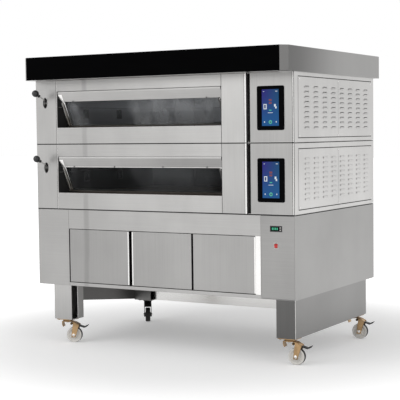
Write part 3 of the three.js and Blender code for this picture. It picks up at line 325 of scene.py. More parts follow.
class Finishes:
    """Every finish of the oven, made once and found by name."""

    made = {}

    @classmethod
    def get(cls, name):
        """The material of that name."""
        if not cls.made:
            cls.make()
        return cls.made[name].material

    @classmethod
    def make(cls):
        """Make all the materials."""
        gloss = bpy.context.scene.oven_gloss
        # The steels are one brushed steel made lighter or darker by a share: lit and shaded copies, painted light
        # and shade for how light falls on each part. The upper and lower liners are a lit and a shaded copy too.
        # The dull steel is also darkened as painted shade, and the bright polished steel is also lightened as
        # painted highlight on edges and strips.
        cls.made = {
            "front steel": brushed("front steel", 1.0, painted_band_and_shade=True),
            "band steel": brushed("band steel", 0.98, "X", painted_band_and_shade=True),
            "right steel": brushed("right steel", 0.90, painted_band_and_shade=True),
            "control steel": brushed("control steel", 0.82),
            "cover steel": brushed("cover steel", 0.68, "X"),
            "lower rail": brushed("lower rail", 0.84, "X", 0.30),
            "upper rail": brushed("upper rail", 0.88, "X", 0.30),
            "side steel": brushed("side steel", 1.30),
            "leg steel": brushed("leg steel", 0.90),
            "shade steel": brushed("shade steel", 0.27),
            "frame steel": brushed("frame steel", 0.56, "X"),
            "dull shaded steel": brushed("dull shaded steel", 0.45, "X", 0.42),
            "shadowed steel": brushed("shadowed steel", 0.20, "Z", 0.40),
            "polished lit steel": brushed("polished lit steel", 1.75, "X", 0.22, 0.05),
            "proofer steel": brushed("proofer steel", 0.92, "X", painted_band_and_shade=True),
            "proofer side": brushed("proofer side", 0.75, "X"),
            "door steel": brushed("door steel", 0.78, "Z", painted_band_and_shade=True),
            "upper liner": liner("upper liner", (0.60, 0.62, 0.65), 1.5),
            "lower liner": liner("lower liner", (0.55, 0.56, 0.58), 0.24),
            "canopy steel": canopy_finish(),
            "black gloss": black_gloss("black gloss", gloss.fascia, 0.012),
            "screen glass": black_gloss("screen glass", (0.003, 0.003, 0.0035), 0.01),
            "display": display_finish(gloss.display),
            "display white": lit("display white", (0.60, 0.66, 0.70), 0.30),
            "display grey": lit("display grey", (0.02, 0.03, 0.14), 0.3),
            "display green": lit("display green", (0.05, 0.46, 0.26), 0.35),
            "display red": lit("display red", (0.16, 0.035, 0.05), 0.3),
            "black plastic": moulded("black plastic", (0.010, 0.010, 0.011), 0.35),
            "black paint": moulded("black paint", (0.014, 0.014, 0.014), 0.45, 0.4),
            "black rubber": moulded("black rubber", (0.020, 0.019, 0.018), 0.72, 0.6),
            "shadow black": moulded("shadow black", (0.003, 0.003, 0.003), 0.9, 0.1),
            "pale plastic": moulded("pale plastic", (0.70, 0.68, 0.66), 0.35),
            "red plastic": moulded("red plastic", gloss.switch, 0.25, 0.1, 0.4),
            "nylon": moulded("nylon", gloss.nylon, 0.45, 0.3),
            "zinc": plated("zinc", gloss.zinc),
            "stone": stone_finish(),
            "wool": wool_finish(),
            "rope": moulded("rope", (0.50, 0.48, 0.44), 0.8, 0.8),
            "element": plated("element", (0.13, 0.11, 0.10), 0.5),
            "upper glass": glass_finish("upper glass", 0.55, 0.10),
            "lower glass": glass_finish("lower glass", 0.12, 0.04),
        }


def canopy_finish():
    """The canopy's steel, with painted shade on its right end: darker at its front right corner and lighter to the
    rear.
    """
    settings = bpy.context.scene.oven_steel
    finish = brushed("canopy steel", 1.1)
    low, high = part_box("canopy")
    back = finish.span(finish.axis("Y"), low[1] + 0.03, low[1] + 0.75, 0.0, 1.0)
    right = finish.axis("X") > high[0] - 0.05
    streak = finish.noise(1.0, 4.0, (240.0, 240.0, 2.4))
    plain = finish.mix(streak, shaded(settings.colour, 0.86), shaded(settings.colour, 1.02))
    # Painted shade: the right end runs from dark at its front to lighter at its rear.
    side = finish.mix(back, shaded(settings.colour, 0.31), shaded(settings.colour, 0.76))
    return finish.set(Base_Color=finish.mix(right, plain, side))


def liner(name, colour, share):
    """The chamber's sheet lining: cloudy, with painted shade that makes it darker below its ledge than above it."""
    finish = Finish(name)
    feet = [deck_foot(deck) * MM + 0.205 for deck in DECKS]
    height = finish.axis("Z")
    upper = height > (feet[1] - 0.10)
    above = height - (upper * (feet[1] - feet[0]) + feet[0])
    cloud = finish.noise(3.1, 4.0)
    streak = finish.noise(1.0, 4.0, (2.4, 2.4, 200.0))
    tone = 0.62 * cloud + 0.38 * streak
    low, high = shaded(colour, 0.62 * share), shaded(colour, 0.86 * share)
    # Painted shade: the wall is darker below the ledge than above it.
    lit_above_ledge = finish.span(above, -0.004, 0.004, 0.0, 1.0)
    wall = finish.mix(lit_above_ledge, finish.mix(tone, shaded(low, 0.8), shaded(low, 1.2)),
                      finish.mix(tone, shaded(high, 0.8), shaded(high, 1.2)))
    return finish.set(
        Base_Color=wall, Metallic=0.9, Roughness=0.30 + 0.16 * cloud,
        Normal=finish.bump(streak, 0.08, 0.0004))


def black_gloss(name, colour, shine):
    """Polished black acrylic or glass, with faint wipe marks."""
    finish = Finish(name)
    wipe = finish.noise(6.0, 4.0, (1.0, 1.0, 3.0))
    finish.set(
        Base_Color=finish.mix(wipe, shaded(colour, 0.8), shaded(colour, 1.3)),
        Roughness=0.05 + 0.10 * wipe,
        Specular_IOR_Level=shine)
    return finish


def lit(name, colour, strength):
    """A lit shape on the display, with slightly uneven light."""
    finish = Finish(name)
    haze = finish.noise(60.0, 2.0)
    tone = finish.mix(haze, shaded(colour, 0.85), shaded(colour, 1.1))
    return finish.set(
        Base_Color=tone, Emission_Color=tone, Emission_Strength=strength, Roughness=0.25)


def display_finish(colour):
    """The lit face of the touch screen: dark blue above, running to teal below."""
    finish = Finish("display")
    lines = []
    for deck in DECKS:
        low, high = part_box(f"{deck}_touch_screen")
        lines.append((low[2], high[2]))
    height = finish.axis("Z")
    upper = height > lines[1][0]
    foot = upper * (lines[1][0] - lines[0][0]) + lines[0][0]
    rise = (height - foot) * (1 / (lines[0][1] - lines[0][0]))
    haze = finish.noise(30.0, 2.0)
    shade = finish.span(rise + 0.1 * haze, 0.1, 1.0)
    low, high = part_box("lower_touch_screen")
    across = finish.span(finish.axis("X"), low[0], high[0])
    night = finish.mix(across, (0.022, 0.012, 0.130), (0.008, 0.050, 0.110))
    tone = finish.mix(shade, colour, night)
    return finish.set(
        Base_Color=tone, Emission_Color=tone, Emission_Strength=0.7, Roughness=0.12,
        Specular_IOR_Level=0.1)


def stone_finish():
    """Fired stone slab: speckled grit and soot-brown patches."""
    finish = Finish("stone")
    grit = finish.noise(420.0, 6.0)
    patch = finish.noise(7.0, 4.0)
    tone = finish.mix(finish.span(grit, 0.4, 0.6), (0.16, 0.135, 0.11), (0.34, 0.30, 0.26))
    finish.set(
        Base_Color=finish.mix(finish.span(patch, 0.45, 0.75), tone, (0.10, 0.075, 0.055)),
        Roughness=0.85 + 0.1 * grit,
        Normal=finish.bump(grit, 0.6, 0.001))
    return finish


def wool_finish():
    """Mineral wool: matted strands in a dull yellow."""
    finish = Finish("wool")
    strand = finish.noise(90.0, 8.0, (1.0, 4.0, 1.0))
    finish.set(
        Base_Color=finish.mix(strand, (0.30, 0.24, 0.10), (0.62, 0.54, 0.30)),
        Roughness=0.95,
        Normal=finish.bump(strand, 1.0, 0.004))
    return finish


def glass_finish(name, streak, clear):
    """Toughened door glass with long slanting streaks of painted reflection, lighter and less clear than the rest.
    """
    finish = Finish(name)
    point = finish.add("ShaderNodeTexCoord", output=3)
    slant = finish.add(
        "ShaderNodeMapping", {},
        {"Vector": point, "Rotation": (0, radians(52), 0), "Scale": (1.0, 1.0, 0.16)})
    smear_and_reflection = finish.add("ShaderNodeTexNoise", {}, {"Vector": slant, "Scale": 6.0, "Detail": 3.0})
    # Painted reflection: the slanting streaks are lighter and less clear, standing in for reflections on the glass.
    return finish.set(
        Base_Color=finish.mix(smear_and_reflection, (0.05, 0.05, 0.055), (0.46, 0.48, 0.50)),
        Roughness=0.03 + 0.08 * smear_and_reflection,
        Alpha=finish.span(smear_and_reflection, 0.44, 0.66, clear, streak))


# ---------------------------------------------------------------- making pieces


def only(*pieces):
    """Select these pieces alone, the first of them active."""
    if bpy.context.mode != "OBJECT":
        bpy.ops.object.mode_set(mode="OBJECT")
    bpy.ops.object.select_all(action="DESELECT")
    for piece in pieces:
        piece.select_set(True)
    bpy.context.view_layer.objects.active = pieces[0]


def settle(piece):
    """Put the object's place, turn and size into its mesh."""
    only(piece)
    bpy.ops.object.transform_apply(location=True, rotation=True, scale=True)
    return piece


def finish_with(piece, kind, **settings):
    """Add a modifier with these settings, and apply it."""
    only(piece)
    modifier = piece.modifiers.new(kind.title(), kind)
    for key, value in settings.items():
        setattr(modifier, key, value)
    bpy.ops.object.modifier_apply(modifier=modifier.name)
    return piece


def soften(piece, radius, segments=2, angle=35):
    """Round the sharp edges and smooth the faces."""
    finish_with(
        piece, "BEVEL", width=radius, segments=segments, limit_method="ANGLE",
        angle_limit=radians(angle))
    bpy.ops.object.shade_smooth_by_angle(angle=radians(angle))
    return finish_with(piece, "WEIGHTED_NORMAL", keep_sharp=True, weight=100)


def block(name, low, high, radius=0.0, segments=2):
    """A folded or cut piece between two corners, with rounded edges."""
    low, high = Vector(low), Vector(high)
    bpy.ops.mesh.primitive_cube_add(size=1, location=(low + high) / 2, scale=high - low)
    piece = bpy.context.object
    piece.name = piece.data.name = name
    settle(piece)
    return soften(piece, radius, segments) if radius else piece


def pick(piece, kind, test):
    """Select the faces or edges that pass the test, and stay in edit mode."""
    only(piece)
    bpy.ops.object.mode_set(mode="EDIT")
    bpy.context.tool_settings.mesh_select_mode = (False, kind == "edges", kind == "faces")
    bpy.ops.mesh.select_all(action="DESELECT")
    bpy.ops.object.mode_set(mode="OBJECT")
    mesh = piece.data
    if kind == "faces":
        for face in mesh.polygons:
            face.select = bool(test(face.center, face.normal))
    else:
        for edge in mesh.edges:
            ends = [mesh.vertices[index].co for index in edge.vertices]
            edge.select = bool(test(*ends))
    bpy.ops.object.mode_set(mode="EDIT")


def done():
    """Leave edit mode."""
    bpy.ops.object.mode_set(mode="OBJECT")


def carve(piece, *tools):
    """Cut the tools out of the piece, and remove them."""
    for tool in tools:
        finish_with(piece, "BOOLEAN", operation="DIFFERENCE", object=tool, solver="EXACT")
        bpy.data.objects.remove(tool)
    return piece


def joined(name, *pieces):
    """Several pieces of one finish as one object."""
    only(*pieces)
    bpy.ops.object.join()
    pieces[0].name = pieces[0].data.name = name
    return pieces[0]


def repeated(piece, count, step):
    """The piece and its copies, a fixed step apart."""
    return finish_with(
        piece, "ARRAY", count=count, use_relative_offset=False, use_constant_offset=True,
        constant_offset_displace=step)


def turned(name, foot, axis, outline, sides=32, smooth=40):
    """A round piece about an axis through foot, from (radius, distance) pairs in millimetres."""
    radius, start = outline[0]
    bpy.ops.mesh.primitive_circle_add(
        vertices=sides, radius=radius * MM, fill_type="NGON", location=(0, 0, start * MM))
    piece = bpy.context.object
    piece.name = piece.data.name = name
    settle(piece)
    bpy.ops.object.mode_set(mode="EDIT")
    bpy.ops.mesh.select_all(action="SELECT")
    for wide, far in outline[1:]:
        bpy.ops.mesh.extrude_region_move(
            TRANSFORM_OT_translate={"value": (0, 0, (far - start) * MM)})
        share = wide / radius
        bpy.ops.transform.resize(value=(share, share, 1), center_override=(0, 0, far * MM))
        radius, start = wide, far
    bpy.ops.mesh.select_all(action="SELECT")
    bpy.ops.mesh.normals_make_consistent(inside=False)
    done()
    turns = {"X": (0, pi / 2, 0), "Y": (-pi / 2, 0, 0), "Z": (0, 0, 0), "-Y": (pi / 2, 0, 0)}
    piece.rotation_euler = turns[axis]
    piece.location = foot
    settle(piece)
    bpy.ops.object.shade_smooth_by_angle(angle=radians(smooth))
    return piece


def folded(name, points, width, sheet, radius=0.0):
    """A bent strip of sheet: points in x and z in millimetres, its width along y."""
    (x0, z0), (x1, z1) = points[:2]
    start, end = Vector((x0, 0, z0)) * MM, Vector((x1, 0, z1)) * MM
    run = end - start
    bpy.ops.mesh.primitive_plane_add(
        size=1, location=(start + end) / 2, scale=(run.length, width * MM, 1),
        rotation=(0, -atan2(run.z, run.x), 0))
    piece = bpy.context.object
    piece.name = piece.data.name = name
    piece.scale = (run.length, width * MM, 1)
    settle(piece)
    here = end
    pick(piece, "edges", lambda a, b: all(abs(p.x - here.x) + abs(p.z - here.z) < 1e-5 for p in (a, b)))
    for (xa, za), (xb, zb) in zip(points[1:], points[2:]):
        bpy.ops.mesh.extrude_region_move(
            TRANSFORM_OT_translate={"value": ((xb - xa) * MM, 0, (zb - za) * MM)})
    done()
    finish_with(piece, "SOLIDIFY", thickness=sheet * MM, offset=0)
    return soften(piece, radius * MM) if radius else piece


def moved(piece, place, turn=(0, 0, 0)):
    """Turn a piece about the origin, move it, and put both into its mesh."""
    piece.rotation_euler = turn
    piece.location = place
    return settle(piece)


def dress(piece, finish, body, slot, *nodes):
    """Give a new piece its material, its body and the nodes that it stands for; its slot is not used."""
    piece.data.materials.clear()
    piece.data.materials.append(Finishes.get(finish))
    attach(piece, body)
    if nodes:
        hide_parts(*nodes)
    return piece


def stretch_rim(piece, centre, share):
    """Stretch a piece upwards about a point."""
    only(piece)
    bpy.ops.object.mode_set(mode="EDIT")
    bpy.ops.mesh.select_all(action="SELECT")
    bpy.ops.transform.resize(value=(1, 1, share), center_override=tuple(centre))
    done()
    return piece


def paint(finish, *nodes):
    """Give carried-over nodes a material."""
    for name in nodes:
        for slot in bpy.data.objects[name].material_slots:
            slot.material = Finishes.get(finish)


# ---------------------------------------------------------------- canopy


class OVEN_OT_canopy(bpy.types.Operator):
    """Make the canopy: a folded steel hood with a glossy black front."""

    bl_idname = "oven.canopy"
    bl_label = "Canopy"

    def execute(self, context):
        """Fold the hood, chamfer its front corners and set the black front into it."""
        low, high = (Vector(corner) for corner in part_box("canopy"))
        hood = block("canopy_hood", low, high)
        chamfer = 0.034
        pick(hood, "edges", lambda a, b: (
            abs(a.x - b.x) < 1e-5 and a.y < low.y + 1e-4 and b.y < low.y + 1e-4
            and abs(a.z - b.z) > 0.01))
        bpy.ops.mesh.bevel(offset=chamfer, offset_type="OFFSET", segments=1, affect="EDGES")
        done()
        mouth = block(
            "mouth", low + Vector((0.09, 0.09, -0.01)),
            Vector((high.x - 0.09, high.y - 0.09, high.z - 0.003)))
        carve(hood, mouth)
        soften(hood, 0.0014, 2, 20)
        dress(hood, "canopy steel", "oven_body", "brushed_steel", "canopy")
        paint("black gloss", "canopy_fascia")
        return {"FINISHED"}


# ---------------------------------------------------------------- deck fronts


class OVEN_OT_deck_fronts(bpy.types.Operator):
    """Make the lapped front sheets of both decks, with their seams in painted shadow and their flanges bright with
    painted highlight.
    """

    bl_idname = "oven.deck_fronts"
    bl_label = "Deck Fronts"

    def execute(self, context):
        """Lay the sheets over each casing front."""
        scene = context.scene
        sheet = scene.oven_steel.sheet / MM
        edge = scene.oven_steel.edge / 2
        for deck in DECKS:
            foot, top = deck_foot(deck) + 4, deck_top(deck)
            sill, head = deck_foot(deck) + 92, deck_foot(deck) + 299

            def plate(name, x0, x1, z0, z1, proud=sheet):
                return block(f"{deck}_{name}", at(x0, -proud, z0), at(x1, 0, z1), edge)

            left = block(f"{deck}_left_front_sheet", at(-800, -sheet, foot), at(-661.5, 0, top))
            slot_z = deck_foot(deck) + LEVER_UP
            slot = block("slot", at(-748, -6, slot_z - 14), at(-724, 6, slot_z + 14))
            ends = [
                turned("end", at(-736, -6, slot_z + up), "Y", [(12, 0), (12, 12)], 28)
                for up in (-14, 14)]
            carve(left, slot, *ends)
            soften(left, edge)
            dress(left, "front steel", "oven_body", "brushed_steel")
            rim = turned("rim", at(-736, -sheet - 0.6, slot_z), "Y", [(15, 0), (15, 0.9)], 32)
            stretch_rim(rim, at(-736, 0, slot_z), 1.97)
            mouth = turned("mouth", at(-736, -6, slot_z), "Y", [(11.6, 0), (11.6, 12)], 32)
            carve(rim, stretch_rim(mouth, at(-736, 0, slot_z), 2.26))
            soften(rim, 0.0002, 1)
            dress(rim, "black plastic", "oven_body", "black_plastic").name = f"{deck}_slot_rim"
            bands = joined(
                f"{deck}_front_bands",
                plate("top_band", -659, 388.5, head - 6, top),
                plate("foot_band", -659, 388.5, foot, sill - 1))
            dress(bands, "band steel", "oven_body", "brushed_steel")
            right = plate("right_front_sheet", 391, 521.5, foot, top)
            # Painted shade: the lower deck's right sheet takes the darker right steel.
            dress(
                right, "right steel" if deck == "lower" else "front steel", "oven_body",
                "brushed_steel")
            panel = (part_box(f"{deck}_control_panel")[0][1] - FRONT) / MM
            # The corner post: a bright strip of painted highlight between two black lines of painted shade.
            corner = [
                block("line", at(x0, panel - proud, foot), at(x1, panel + 0.2, top), 0.0002, 1)
                for x0, x1, proud in ((789.4, 792, 0.5), (792.2, 796.8, 0.8), (797, 799.8, 0.5))]
            # Painted highlight: flat bright strips stand for the lit return edge at the gap, the lit left edge of
            # the opening and the corner post.
            flange = joined(
                f"{deck}_gap_flange", plate("flange", 523.6, 533.4, foot, top, sheet + 0.6),
                plate("left_edge", -658.8, -656.6, foot, top, sheet + 0.4), corner[1])
            dress(flange, "polished lit steel", "oven_body", "polished_steel")
            line = deck_foot(deck)
            depth = (CASE_HIGH.y - FRONT) / MM
            # Painted shadow: black strips stand for the shade in the gaps between the sheets, at the deck's foot,
            # beside each sheet and round the casing's sides and back.
            seams = [
                plate("seam", -800, 800, line - 1.2, foot + 0.6, 1.5),
                plate("seam", -661.3, -659.2, foot, top, 0.6),
                plate("seam", 388.8, 390.8, foot, top, 0.6),
                plate("seam", 521.7, 523.4, foot, top, 0.6),
                plate("seam", 533.6, 540, foot, top, 1.0), corner[0], corner[2],
                block("seam", at(799.9, 6, line - 1.6), at(800.6, depth - 6, line + 2)),
                block("seam", at(-800.6, 6, line - 1.6), at(-799.9, depth - 6, line + 2)),
                block("seam", at(-794, depth - 0.1, line - 1.6), at(794, depth + 0.5, line + 2))]
            dress(joined(f"{deck}_seam_shadow_lines", *seams), "shadow black", "oven_body", "black_paint")
            # Painted shade: a black sheet deep in the gap beside the control panel.
            dark = block(
                f"{deck}_gap_shadow_back", at(540.5, 16, foot + 2), at(555.2, 20, top - 2.2), 0.0005)
            dress(dark, "shadow black", "oven_body", "black_paint")
            # Painted shade: a black plate behind the lever slot stands for the dark inside of the slot.
            backing_shade = block(
                f"{deck}_slot_shadow_plate", at(-765, 44, slot_z - 45), at(-707, 46, slot_z + 45), 0.001)
            dress(backing_shade, "shadow black", "oven_body", "black_paint")
            paint("side steel", f"{deck}_casing")
            paint("control steel", f"{deck}_control_panel")
        return {"FINISHED"}


# ---------------------------------------------------------------- doors and chambers


class OVEN_OT_glass_doors(bpy.types.Operator):
    """Make the inclined glass doors: rail, barred stiles, rope seals, clips and glass."""

    bl_idname = "oven.glass_doors"
    bl_label = "Glass Doors"

    def execute(self, context):
        """Draw each leaf hanging from its pivot, then turn it into its rest place."""
        for deck in DECKS:
            body = f"{deck}_door"
            steel, bars, ropes, studs, bushes = self.leaf(deck)
            dress(steel, f"{deck} rail", body, "polished_steel", f"{deck}_door_frame")
            dress(bars, "polished lit steel", body, "polished_steel")
            dress(ropes, "rope", body, "mineral_wool")
            dress(studs, "shadowed steel", body, "shaded_steel")
            dress(bushes, "polished lit steel", body, "polished_steel")
            paint(f"{deck} glass", f"{deck}_door_glass")
        return {"FINISHED"}

    def leaf(self, deck):
        """The pieces of one leaf, each in its rest place."""
        left, right = -651, 385
        half, length, rail, stile = 12, 207, 50, 30

        def slab(x0, x1, y0, y1, z0, z1, radius=0.001):
            return block("slab", Vector((x0, y0, z0)) * MM, Vector((x1, y1, z1)) * MM, radius)

        head = block(
            "rail", Vector((left, -half, -rail)) * MM, Vector((right, half, half)) * MM)
        pick(head, "edges", lambda a, b: a.z > 0 and b.z > 0 and abs(a.x - b.x) > 0.1)
        bpy.ops.mesh.bevel(offset=half * MM * 0.98, segments=7, affect="EDGES")
        done()
        soften(head, 0.0012, 2, 40)
        # The lip and the cheek are polished lit steel: bright strips of painted highlight.
        lip = slab(left, right, -half - 1.2, -half, -rail - 1.5, -rail + 1.5, 0.0005)
        foot = slab(left, right, -half, half, -length, -length + 8)
        backs = [
            slab(x, x + stile, -2, half, -length + 8, -rail)
            for x in (left, right - stile)]
        cheek = slab(left, left + 26, -half - 0.8, -half + 1, -rail - 6, -6, 0.0006)
        steel = joined(f"{deck}_door_rail", head, foot)
        bars = [lip, cheek] if deck == "lower" else [cheek]
        if deck == "upper":
            bpy.data.objects.remove(lip)
        ropes = []
        for x, way in ((left, 1), (right, -1)):
            outer, inner = sorted((x, x + way * 11)), sorted((x + way * 18, x + way * stile))
            for low, high in (outer, inner):
                # Painted light and shade: the left stile's bars are bright and the right stile's bars are dark.
                side = bars if way == 1 else backs
                side.append(slab(low, high, -half, -1.9, -length + 8.5, -rail - 2.5, 0.0022))
            strand = turned(
                "strand", (0, 0, 0), "Z", [(0.6, -4), (2.4, -2), (2.9, 0), (2.4, 2), (0.6, 4)], 10)
            moved(strand, Vector((x + way * 14.5, -half + 4, -length + 13)) * MM, (0, radians(48), 0))
            ropes.append(repeated(strand, 34, (0, 0, 0.0042)))
        # Painted shade: the studs, the hole behind the bush and the stile backs are in nearly black shadowed steel.
        studs = [
            turned("stud", Vector((x, -half - 1.5, -rail + 3)) * MM, "-Y", [(3.4, -1), (3.4, 1.4), (2.2, 2.4)], 14)
            for x in ((-560, -290, 20, 290) if deck == "lower" else (-560, 290))]
        pin = Vector((right - 12, -half, -60)) * MM
        bush = turned("bush", pin, "-Y", [(8.6, -1), (8.6, 1.6), (8, 2.2)], 28)
        hole = turned("hole", pin, "-Y", [(7, 2), (7, 2.5), (6.4, 2.8)], 28)
        place = at(0, 12.5, deck_foot(deck) + 286)
        place.x = MIDDLE
        groups = (
            (steel, "rail"), (joined(f"{deck}_door_bars", *bars), "bars"),
            (joined(f"{deck}_door_rope_seals", *ropes), "ropes"),
            (joined(f"{deck}_door_studs", *studs, hole, *backs), "studs"),
            (bush, "bush"))
        bush.name = bush.data.name = f"{deck}_door_bush"
        return [moved(piece, place, (radians(26), 0, 0)) for piece, _ in groups]


class OVEN_OT_chambers(bpy.types.Operator):
    """Finish the chambers: liners, vents, seams, stones, heaters and insulation."""

    bl_idname = "oven.chambers"
    bl_label = "Chambers"

    def execute(self, context):
        """Finish the chamber nodes, and line the walls with their ledge, seam and vents."""
        for deck in DECKS:
            sill = deck_foot(deck) + 92
            paint(f"{deck} liner", f"{deck}_chamber")
            paint("stone", f"{deck}_hearth_stone")
            paint("wool", f"{deck}_insulation")
            paint("element", f"{deck}_ceiling_heater", f"{deck}_floor_heater")
            paint("side steel", f"{deck}_rear_cover")
            vent_shadows = []
            rims = []
            grilles = []
            for y in (272, 610):
                grilles.append(block("grille", at(-655, y - 20, sill + 58), at(-653.8, y + 20, sill + 102), 0.0004))
                back = block("vent", at(-659, y - 26, sill + 52), at(-657.2, y + 26, sill + 108), 0.0004)
                vent_shadows.append(back)
                rim = block("rim", at(-655, y - 26, sill + 52), at(-653.6, y + 26, sill + 108))
                carve(rim, block("mouth", at(-660, y - 21, sill + 56.5), at(-650, y + 21, sill + 103.5)))
                rims.append(soften(rim, 0.0004))
            jamb = block("jamb", at(-655, 3, sill - 3), at(-653.6, 118, sill + 206.5), 0.0004)
            # Painted shade: black vent backs and grilles stand for the dark inside of the vents, and a black strip
            # for the shade along the door jamb.
            dress(joined(f"{deck}_vents", *vent_shadows, *grilles, jamb), "shadow black", "oven_body", "black_paint")
            ledge = block("ledge", at(-655, 12, sill + 113), at(-653, 975, sill + 116), 0.0006)
            back_ledge = block("back_ledge", at(-655, 973, sill + 113), at(389, 975, sill + 116), 0.0006)
            post = block("seam", at(-346.5, 973.6, sill - 4), at(-343.5, 975, sill + 206), 0.0005)
            dress(
                joined(f"{deck}_liner_trim", *rims, ledge, back_ledge, post),
                "dull shaded steel", "oven_body", "shaded_steel")
        return {"FINISHED"}


class OVEN_OT_damper_levers(bpy.types.Operator):
    """Make the damper levers: a bright rod and a black ball knob with a conical neck."""

    bl_idname = "oven.damper_levers"
    bl_label = "Damper Levers"

    def execute(self, context):
        """Turn each rod and knob along its axis, then tip it to its rest angle."""
        for deck in DECKS:
            body = f"{deck}_lever"
            hub = turned(
                "hub", (-0.007, 0, 0), "X", [(8.6, 0), (10, 1), (10, 13), (8.6, 14)], 28)
            rod = turned("rod", (0, 0, 0), "-Y", [(4, 8), (4, 93)], 18)
            lever = joined(f"{deck}_lever_rod", hub, rod)
            knob = turned(
                f"{deck}_ball_knob", (0, 0, 0), "-Y",
                [(8.2, 92), (9, 93), (8.4, 100), (8.8, 106), (11.5, 111), (15.6, 115.4), (18.2, 121),
                 (19, 127.4), (18.2, 133.6), (15.6, 139.4), (11.5, 143.8), (6.2, 146.2), (1, 146.4)], 28)
            place = at(-736, 30, deck_foot(deck) + LEVER_UP)
            for piece in (lever, knob):
                moved(piece, place, (-radians(23.5), 0, 0))
            dress(lever, "polished lit steel", body, "polished_steel", f"{deck}_damper_lever")
            dress(knob, "black plastic", body, "black_plastic", f"{deck}_damper_knob")
        return {"FINISHED"}


# ---------------------------------------------------------------- controls


class OVEN_OT_touch_screens(bpy.types.Operator):
    """Make the touch screens: a black glass face and a lit display with plain shapes."""

    bl_idname = "oven.touch_screens"
    bl_label = "Touch Screens"

    def execute(self, context):
        """Round the glass face, and lay the display and its plain shapes on it."""
        for deck in DECKS:
            low, high = (Vector(corner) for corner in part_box(f"{deck}_touch_screen"))
            face = low.y
            glass = block(
                f"{deck}_screen_glass", low, Vector((high.x, FRONT - 0.00002, high.z)))
            pick(glass, "edges", lambda a, b: abs(a.y - b.y) > 0.001)
            bpy.ops.mesh.bevel(offset=0.009, segments=6, affect="EDGES")
            done()
            soften(glass, 0.0008, 2, 30)
            dress(glass, "screen glass", "oven_body", "screen_glass", f"{deck}_touch_screen")
            x, z = (low.x + high.x) / 2, (low.z + high.z) / 2 + 0.002

            def tile(x0, x1, z0, z1, proud=0.0006):
                return block(
                    "tile", (x + x0 * MM, face - proud, z + z0 * MM),
                    (x + x1 * MM, face - 0.00005, z + z1 * MM), 0.0002, 1)

            def dot(x0, z0, radius, proud=0.6):
                return turned(
                    "dot", (x + x0 * MM, face, z + z0 * MM), "-Y",
                    [(radius, 0.05), (radius, proud - 0.1), (radius - 0.2, proud)], 20)

            display = tile(-47, 47, -91, 91, 0.0003)
            dress(display, "display", "oven_body", "screen_glass").name = f"{deck}_display"
            white = [
                tile(-40, -33, 79, 81.5), tile(28, 40, 79, 82), tile(-38, -20, -8, 18),
                tile(21, 31, 4, 17), tile(27, 35, -5, 6), tile(-14, 14, -27, -24.5),
                tile(-35, -30, -75, -68), tile(30, 35, -75, -68)]
            dress(joined(f"{deck}_display_marks", *white), "display white", "oven_body", "pale_plastic")
            grey = [tile(-34, -25, -4, 14, 0.0009), dot(0, -72, 5, 0.9)]
            dress(joined(f"{deck}_display_tiles", *grey), "display grey", "oven_body", "pale_plastic")
            green = [dot(0, -72, 9), tile(-7, 7, -15, -11)]
            dress(joined(f"{deck}_display_start", *green), "display green", "oven_body", "pale_plastic")
            red = [tile(-8, 8, 32, 42), tile(-8, 8, 18, 27)]
            dress(joined(f"{deck}_display_heat", *red), "display red", "oven_body", "red_plastic")
        return {"FINISHED"}


class OVEN_OT_louvres(bpy.types.Operator):
    """Make the pressed hoods, the shadow seams and the screws of the side panels."""

    bl_idname = "oven.louvres"
    bl_label = "Louvres"

    def execute(self, context):
        """Press one hood, repeat it in rows and columns, and add seams and screws."""
        for deck, rise in (("lower", 4.6), ("upper", 1.2)):
            paint("side steel", f"{deck}_louvre_panel")
            low, high = (Vector(corner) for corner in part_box(f"{deck}_louvre_panel"))
            face = high.x / MM
            foot = deck_foot(deck)
            side = 800 + 1
            hood = block(
                "hood", at(side - 0.5, 147 - 25, foot + 77 - 5.2), at(side + 3.2, 147 + 25, foot + 77 + rise))
            pick(hood, "edges", lambda a, b: a.x > face * MM and b.x > face * MM and a.z > (foot + 77) * MM and b.z > (foot + 77) * MM)
            bpy.ops.mesh.bevel(offset=0.0030, segments=2, affect="EDGES")
            done()
            pick(hood, "edges", lambda a, b: abs(a.y - b.y) < 1e-5 and abs(a.x - b.x) < 1e-5)
            bpy.ops.mesh.bevel(offset=0.0025, segments=1, affect="EDGES")
            done()
            only(hood)
            bpy.ops.object.shade_smooth_by_angle(angle=radians(50))
            repeated(hood, 9, (0, 0, 0.0256))
            repeated(hood, 8, (0, 0.111, 0))
            hood.name = hood.data.name = f"{deck}_louvre_hoods"
            dress(hood, "side steel", "oven_body", "brushed_steel")
            top = high.z / MM
            base = low.z / MM
            # Painted shade: black strips stand for the shadowed seams at the panel's top and foot, and the crease
            # is a darker steel strip.
            seams = [
                block("seam", at(798.6, 46, z - 1.8), at(800.9, 1006, z + 1.8), 0.0003)
                for z in (base + 8.4, top - 8.4)]
            crease = block("crease", at(side - 0.3, 539, base + 14), at(side + 0.25, 540.4, top - 14), 0.0002)
            dress(joined(f"{deck}_panel_seam_shadows", *seams), "shadow black", "oven_body", "black_paint")
            dress(crease, "dull shaded steel", "oven_body", "shaded_steel").name = f"{deck}_panel_crease"
            screws = []
            for y in (58, 540, 994):
                for z in (base + 20, top - 20):
                    screw = turned(
                        "screw", at(side, y, z), "X", [(4, -0.3), (4, 1.1), (2.4, 2.0)], 16)
                    screws.append(screw)
            dress(joined(f"{deck}_panel_screws", *screws), "polished lit steel", "oven_body", "polished_steel")
        return {"FINISHED"}


# ---------------------------------------------------------------- proofer


